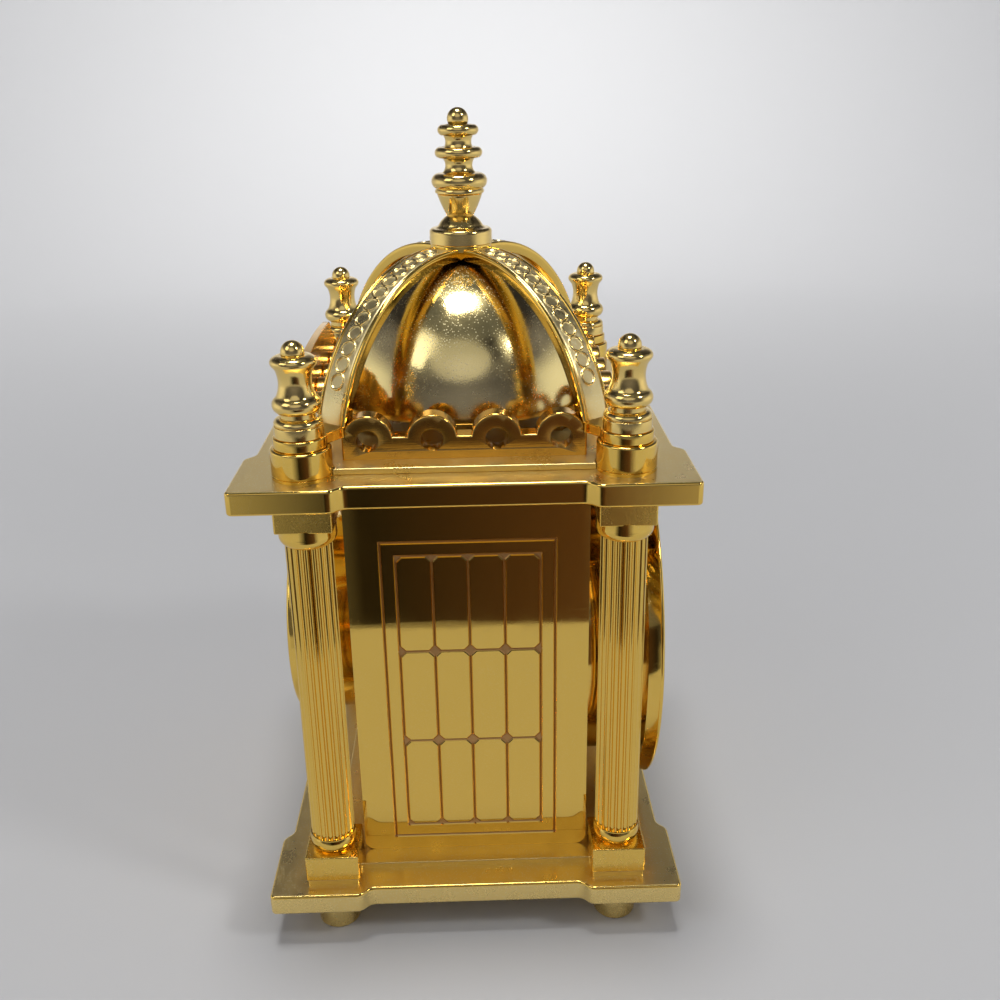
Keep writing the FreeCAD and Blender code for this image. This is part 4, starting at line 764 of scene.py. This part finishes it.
def lugOutline(spec):
    # a bar as wide as the strap that ends in a round eye on the drum's axis
    centre = math.hypot(place["columnX"], place["columnY"])
    meet = math.asin(strap["half"] / spec["lugRadius"])
    angle = np.linspace(meet - math.pi, math.pi - meet, 61)
    eye = np.stack([centre + spec["lugRadius"] * np.cos(angle), spec["lugRadius"] * np.sin(angle)], 1)
    return np.concatenate([[(spec["lugStart"], -strap["half"])], eye, [(spec["lugStart"], strap["half"])]])


def ringPlateOutline(spec):
    # a rectangle whose corners are notched round the drums
    reach = spec["drum"] + spec["drumGap"]
    x, y, cx, cy = spec["ringX"], spec["ringY"], place["columnX"], place["columnY"]
    low = math.atan2(-math.sqrt(reach**2 - (x - cx) ** 2), x - cx)
    high = math.atan2(y - cy, -math.sqrt(reach**2 - (y - cy) ** 2)) - fullTurn
    angle = np.linspace(low, high, 25)
    notch = np.stack([cx + reach * np.cos(angle), cy + reach * np.sin(angle)], 1)
    mirrored = [notch, (notch * [-1, 1])[::-1], notch * [-1, -1], (notch * [1, -1])[::-1]]
    return np.concatenate(mirrored)


def makeCage(spec):
    drum = turned(profileLine((0, 0), spec["drumProfile"], 6), 96)
    drums = joined([atCorner(drum, corner, place["topTop"]) for corner in cornerSigns])
    addPiece("drumSet", drums, gold["polished"], replaced=["drums"], flats=True)
    angle = np.linspace(0, fullTurn, 120, endpoint=False)
    bore = spec["ringBore"] * np.stack([np.cos(angle), np.sin(angle)], 1)
    sheet = cutSheet([ringPlateOutline(spec), bore], spec["ringThick"], spec["ringEdge"])
    addPiece("ringPlate", moved(sheet, z=place["topTop"] + 0.5 * spec["ringThick"]), gold["plateTop"],
             replaced=["cage_ring"], flats=True)
    lug = slab(lugOutline(spec), place["drumTop"], place["lugTop"], spec["lugEdge"])
    boss = turned(profileLine((0, spec["bossLow"]), spec["bossProfile"], 6), 96)
    castParts = [boss] + [moved(lug, turn=cornerTurn(corner)) for corner in cornerSigns]
    addPiece("cageFrame", joined(castParts), gold["polished"], replaced=["bell_cage"], flats=True)
    band, finish = makeStrap(strap)
    for corner in cornerSigns:
        addPiece("strap_" + corner, moved(band, turn=cornerTurn(corner)),
                 [gold["polished"], gold["strap"], gold["finial"]], sharp=50, pick=lambda centre: finish)


makeBell(bell)
makeCage(cage)
print("bell and cage made")


# Dial, bezel and rear cap, their profiles counted outwards along the dial's axis
dial = {
    "face": 21.2, "thick": 0.03, "sunk": 0.005, "track": (18.6, 19.3), "trackHalf": 0.05,
    "hourMark": 0.34, "minuteMark": 0.14, "numeral": 15.6, "numeralHigh": 3.4, "narrow": 0.86,
    "stroke": 0.52, "hair": 0.2, "widths": {"I": 1.15, "V": 2.3, "X": 2.3},
    "hours": ["XII", "I", "II", "III", "IIII", "V", "VI", "VII", "VIII", "IX", "X", "XI"],
    "bezel": [(25.6, 23.8), (25.9, 25.35), (26.0, 25.6, 25.75, 25.9), (24.9, 25.9), (24.7, 25.8),
              (22.8, 25.55, 20.4, 25.2), (20.4, 24.95), (21.5, 24.95)],
    "dialRing": [(21.2, 21.2), (21.2, 23.75), (20.9, 23.75), (20.0, 21.9), (19.9, 21.7)],
    "cap": [(12.6, -26.1), (12.75, -26.02), (12.9, -26.1), (14.55, -26.1),
            (14.9, -25.95, 15.05, -25.6), (15.05, -16.3), (14.9, -16.2), (14.05, -16.2),
            (14.05, -25.3), (0, -25.3)],
}


def flatStroke(x0, y0, x1, y1, width, low, high):
    # a thin box along a line
    along = np.array([x1 - x0, y1 - y0])
    side = np.array([-along[1], along[0]]) / np.linalg.norm(along) * 0.5 * width
    start, end = np.array([x0, y0]), np.array([x1, y1])
    corner = np.array([start - side, end - side, end + side, start + side])
    points = np.concatenate([np.c_[corner, np.full(4, low)], np.c_[corner, np.full(4, high)]])
    return points, [[3, 2, 1, 0], [4, 5, 6, 7], [0, 1, 5, 4], [1, 2, 6, 5], [2, 3, 7, 6], [3, 0, 4, 7]]


def numeralStrokes(text, spec):
    # I, V and X from thick and thin strokes with flat serifs, centred on x
    h, s, t = 0.5 * spec["numeralHigh"], spec["stroke"], spec["hair"]
    widths = spec["widths"]
    total = sum(widths[letter] for letter in text)
    x, strokes = -0.5 * total, []
    for letter in text:
        w = widths[letter]
        c = x + 0.5 * w
        if letter == "I":
            strokes += [(c, -h, c, h, s), (c - 0.5, h, c + 0.5, h, t), (c - 0.5, -h, c + 0.5, -h, t)]
        elif letter == "V":
            strokes += [(c - 0.75, h, c, -h, s), (c + 0.75, h, c + 0.05, -h, t),
                        (c - 1.15, h, c - 0.35, h, t), (c + 0.4, h, c + 1.1, h, t)]
        else:
            strokes += [(c - 0.8, h, c + 0.8, -h, s), (c + 0.8, h, c - 0.8, -h, t)]
            strokes += [(c + a - 0.38, b, c + a + 0.38, b, t) for a in (-0.8, 0.8) for b in (-h, h)]
        x += w
    return strokes


def makeMarks(spec):
    # the printed numerals and minute track, very thin boxes and rings on the dial plate
    low, high = spec["face"] - spec["sunk"], spec["face"] + spec["thick"]
    middle, narrow, track = spec["numeral"], spec["narrow"], spec["track"]
    marks = []
    for hour, text in enumerate(spec["hours"]):
        turn = -hour * fullTurn / 12
        for x0, y0, x1, y1, width in numeralStrokes(text, spec):
            stroke = flatStroke(narrow * x0, y0 + middle, narrow * x1, y1 + middle, width, low, high)
            marks.append(moved(stroke, turn=turn))
    for minute in range(60):
        turn = -minute * fullTurn / 60
        width = spec["hourMark"] if minute % 5 == 0 else spec["minuteMark"]
        marks.append(moved(flatStroke(0, track[0], 0, track[1], width, low, high), turn=turn))
    for radius in track:
        inner, outer = radius - spec["trackHalf"], radius + spec["trackHalf"]
        ring = np.array([(inner, low), (outer, low), (outer, high), (inner, high)])
        marks.append(turned(ring, 180, True))
    addPiece("dialMarks", facing(joined(marks)), plain["ink"], sharp=30)


def makeDial(spec):
    makeMarks(spec)
    bezel = turned(profileLine((21.5, 23.8), spec["bezel"], 10), 200, True)
    addPiece("bezelRing", facing(bezel), gold["polished"], replaced=["bezel"])
    ring = turned(profileLine((19.9, 21.2), spec["dialRing"]), 160, True)
    addPiece("dialRing", facing(ring), gold["polished"], replaced=["dial_ring"])
    cap = turned(profileLine((0, -26.1), spec["cap"], 6), 160)
    addPiece("rearCap", facing(cap), gold["polished"], body="cap", replaced=["rear_cap"])
    print("dial made")


makeDial(dial)


# Finishes of the pieces that keep their solid
goldFinishes = {
    "sidePanel": ["side_panel_left", "side_panel_right"], "endPanel": ["front_panel", "rear_panel"],
    "fretSide": ["side_fret_left", "side_fret_right"],
    "fretEnd": ["front_fret", "rear_fret", "rear_crest"], "polished": ["dial_case"],
}
plainFinishes = {
    "steel": ["tie_rods", "bell_nut", "bell_stud", "case_screws", "setting_stem", "stator", "rotor"],
    "brass": ["cannon_pinion", "hour_wheel", "minute_wheel", "second_wheel", "intermediate_wheel",
              "main_plate", "rear_plate", "plate_pillars", "centre_bush"],
    "wood": ["corner_posts"], "aluminium": ["movement_case"], "dial": ["dial_plate"],
    "hands": ["hour_hand", "minute_hand", "second_hand"],
    "blackPlastic": ["setting_knob", "cell_holder"], "board": ["circuit_board"], "copper": ["coil"],
    "tin": ["crystal", "cell_contacts"], "sleeve": ["battery"], "glass": ["lens"],
}
fretRound = 0.25
for materials, finishes in ((gold, goldFinishes), (plain, plainFinishes)):
    for finish, members in finishes.items():
        for node in members:
            paint(node, materials[finish])
for node in goldFinishes["fretSide"] + goldFinishes["fretEnd"]:
    roundEdges(node, fretRound)
print("finishes set")


# Camera, floor and light, the camera's place in millimetres and the room in metres
camera = {
    "where": (-151.73, -1.55, 113.37), "yaw": 0.0214, "pitch": -0.3738, "roll": -0.0160,
    "lens": 39.04, "sensor": 36.0,
}
# the paper's far floor is painted paler (painted light), and its upper wall and camera side are painted
# dark (painted shade)
studio = {
    "radius": 0.75, "cove": 0.28, "height": 1.1, "coveMiddle": 0.8, "nearFloor": (0.55, 0.55, 0.55),
    "paintedLightFarFloor": (0.62, 0.62, 0.62), "paintedShadeTop": (0.13, 0.13, 0.169), "floor": (0.12, 0.5),
    "wall": (0.24, 0.42), "side": (-0.24, -0.44), "rough": 0.9, "sky": (0.11, 0.115, 0.13, 1),
}
# a dark card seen only in reflections, a painted dark reflection of the shade before the clock
card = {
    "x": -0.105, "half": 0.062, "low": 0.002, "high": 0.056, "fade": 0.38, "brownSide": (0.02, -0.03),
    "dark": (0.025, 0.017, 0.012), "brown": (0.20, 0.10, 0.06), "rough": 0.9,
}
lamps = {
    "highRoundLamp": ((0.01, 0.02, 0.78), (0, 0, 0.08), (0.235, 0), 3.2, "DISK"),
    "sideRoundLamp": ((-0.21, -0.37, 0.43), (0, 0, 0.08), (0.10, 0), 0.6, "DISK"),
    "windowSoftbox": ((-0.52, 0.03, 0.46), (0, 0, 0.02), (0.62, 0.42), 0.27, "ELLIPSE"),
    "fillSoftbox": ((-0.30, 0.42, 0.50), (0, 0, 0.05), (0.32, 0.32), 0.55, "RECTANGLE"),
}
wallLamps = {
    "count": 4, "ring": 0.36, "height": 0.95, "aimRing": 0.74, "aimHeight": 0.15, "size": 0.3,
    "power": 1.4, "spread": 75,
}


def makeCamera(spec):
    # forward from yaw and pitch measured from +X, then the roll about it
    yaw, pitch, roll = spec["yaw"], spec["pitch"], spec["roll"]
    forward = Vector((math.cos(yaw) * math.cos(pitch), -math.sin(yaw) * math.cos(pitch), math.sin(pitch)))
    right = Vector((-math.sin(yaw), -math.cos(yaw), 0))
    up = right.cross(forward)
    tiltedRight = math.cos(roll) * right + math.sin(roll) * up
    tiltedUp = -math.sin(roll) * right + math.cos(roll) * up
    data = bpy.data.cameras.new("photoCamera")
    data.lens, data.sensor_width, data.clip_start, data.clip_end = spec["lens"], spec["sensor"], 0.005, 20.0
    view = bpy.data.objects.new("photoCamera", data)
    turn = Matrix((tiltedRight, tiltedUp, -forward)).transposed().to_4x4()
    view.matrix_world = Matrix.Translation(Vector(spec["where"]) * mm) @ turn
    bpy.context.scene.collection.objects.link(view)
    bpy.context.scene.camera = view


def addStage(name, part, material, inward):
    # a smooth stage object, its normals turned outward or inward
    points, faces = part
    mesh = bpy.data.meshes.new(name)
    mesh.from_pydata((points * mm).tolist(), [], faces)
    work = bmesh.new()
    work.from_mesh(mesh)
    bmesh.ops.remove_doubles(work, verts=work.verts, dist=1e-6)
    bmesh.ops.recalc_face_normals(work, faces=work.faces)
    if inward:
        bmesh.ops.reverse_faces(work, faces=work.faces)
    work.to_mesh(mesh)
    work.free()
    mesh.shade_smooth()
    mesh.materials.append(material)
    piece = bpy.data.objects.new(name, mesh)
    bpy.context.scene.collection.objects.link(piece)
    return piece


def paintedShadePaperMaterial(spec):
    # the floor is painted paler outward, painted light where the lamps' light falls off, and the paper is
    # painted darker up the wall and behind the camera, painted shade of a dark room that the metal reflects
    material, tree, shader = newMaterial("paperWithPaintedShade")
    where = objectPlace(tree)
    out = addNode(tree, "ShaderNodeVectorMath", {"operation": "LENGTH"}, i0=where).outputs["Value"]
    axes = addNode(tree, "ShaderNodeSeparateXYZ", None, Vector=where)
    high = rampNode(tree, axes.outputs["Z"], *spec["wall"])
    far = rampNode(tree, axes.outputs["X"], *spec["side"])
    # painted light: the floor is painted paler away from the clock, where the lamps' light falls off
    near = rampNode(tree, out, *spec["floor"])
    floorTone = mixNode(tree, near, spec["nearFloor"], spec["paintedLightFarFloor"])
    # painted shade: up the wall and on the camera's side the paper turns dark
    tone = mixNode(tree, mathNode(tree, "MAXIMUM", high, far), floorTone, spec["paintedShadeTop"])
    tree.links.new(tone, shader.inputs["Base Color"])
    shader.inputs["Roughness"].default_value = spec["rough"]
    shader.inputs["Specular IOR Level"].default_value = 0.1
    return material


def reflectionCardMaterial(spec):
    # painted dark reflection: brown on the -Y side, nearly black on the other, and faded out towards both
    # ends
    material, tree, shader = newMaterial("darkReflectionCard")
    across = addNode(tree, "ShaderNodeSeparateXYZ", None, Vector=objectPlace(tree)).outputs["Y"]
    brown = rampNode(tree, across, *spec["brownSide"])
    tree.links.new(mixNode(tree, brown, spec["dark"], spec["brown"]), shader.inputs["Base Color"])
    shader.inputs["Roughness"].default_value = spec["rough"]
    out = mathNode(tree, "ABSOLUTE", across)
    side = rampNode(tree, out, spec["half"], spec["fade"] * spec["half"])
    tree.links.new(side, shader.inputs["Alpha"])
    return material


def makeStudio():
    # a round floor of pale paper that bends up into a wall all round
    r, c, h, middle = studio["radius"], studio["cove"], studio["height"], studio["coveMiddle"]
    bend = (r - c + c * math.sin(middle), c * (1 - math.cos(middle)), r, c)
    profile = profileLine((0, 0), [(0.2, 0), (r - c, 0), bend, (r, h)], 24) / mm
    addStage("studioBowl", turned(profile, 96), paintedShadePaperMaterial(studio), True)
    # a low dark card before the side panel, outside the picture, seen only in the metal: a painted dark
    # reflection of shade before the clock, there to give the gilt its contrast
    x, y, low, high = [1000 * card[key] for key in ("x", "half", "low", "high")]
    sheet = np.array([(x, -y, low), (x, y, low), (x, y, high), (x, -y, high)]), [[0, 1, 2, 3]]
    reflectionFlag = addStage("darkReflectionCard", sheet, reflectionCardMaterial(card), False)
    reflectionFlag.visible_camera = False
    reflectionFlag.visible_diffuse = False
    reflectionFlag.visible_shadow = False


def addLamp(name, where, target, size, power, shape):
    data = bpy.data.lights.new(name, "AREA")
    data.shape, data.energy, data.size = shape, power, size[0]
    if shape in ("RECTANGLE", "ELLIPSE"):
        data.size_y = size[1]
    lamp = bpy.data.objects.new(name, data)
    lamp.location = Vector(where)
    lamp.rotation_mode = "QUATERNION"
    lamp.rotation_quaternion = (Vector(target) - Vector(where)).to_track_quat("-Z", "Y")
    bpy.context.scene.collection.objects.link(lamp)
    return lamp


def makeLight(spec):
    for name, settings in lamps.items():
        addLamp(name, *settings)
    for number in range(spec["count"]):
        # lamps for the wall only: their narrow spread passes over the clock
        turn = number * fullTurn / spec["count"]
        x, y = math.cos(turn), math.sin(turn)
        ring, aim = spec["ring"], spec["aimRing"]
        lamp = addLamp("wallLamp_%d" % number, (ring * x, ring * y, spec["height"]),
                       (aim * x, aim * y, spec["aimHeight"]), (spec["size"], 0), spec["power"], "DISK")
        lamp.data.spread = math.radians(spec["spread"])
    world = bpy.data.worlds.new("studioWorld")
    world.use_nodes = True
    world.node_tree.nodes["Background"].inputs["Color"].default_value = studio["sky"]
    world.node_tree.nodes["Background"].inputs["Strength"].default_value = 1.0
    bpy.context.scene.world = world
    bpy.context.scene.view_settings.view_transform = "Standard"


makeCamera(camera)
makeStudio()
makeLight(wallLamps)
print("camera, floor and light set")
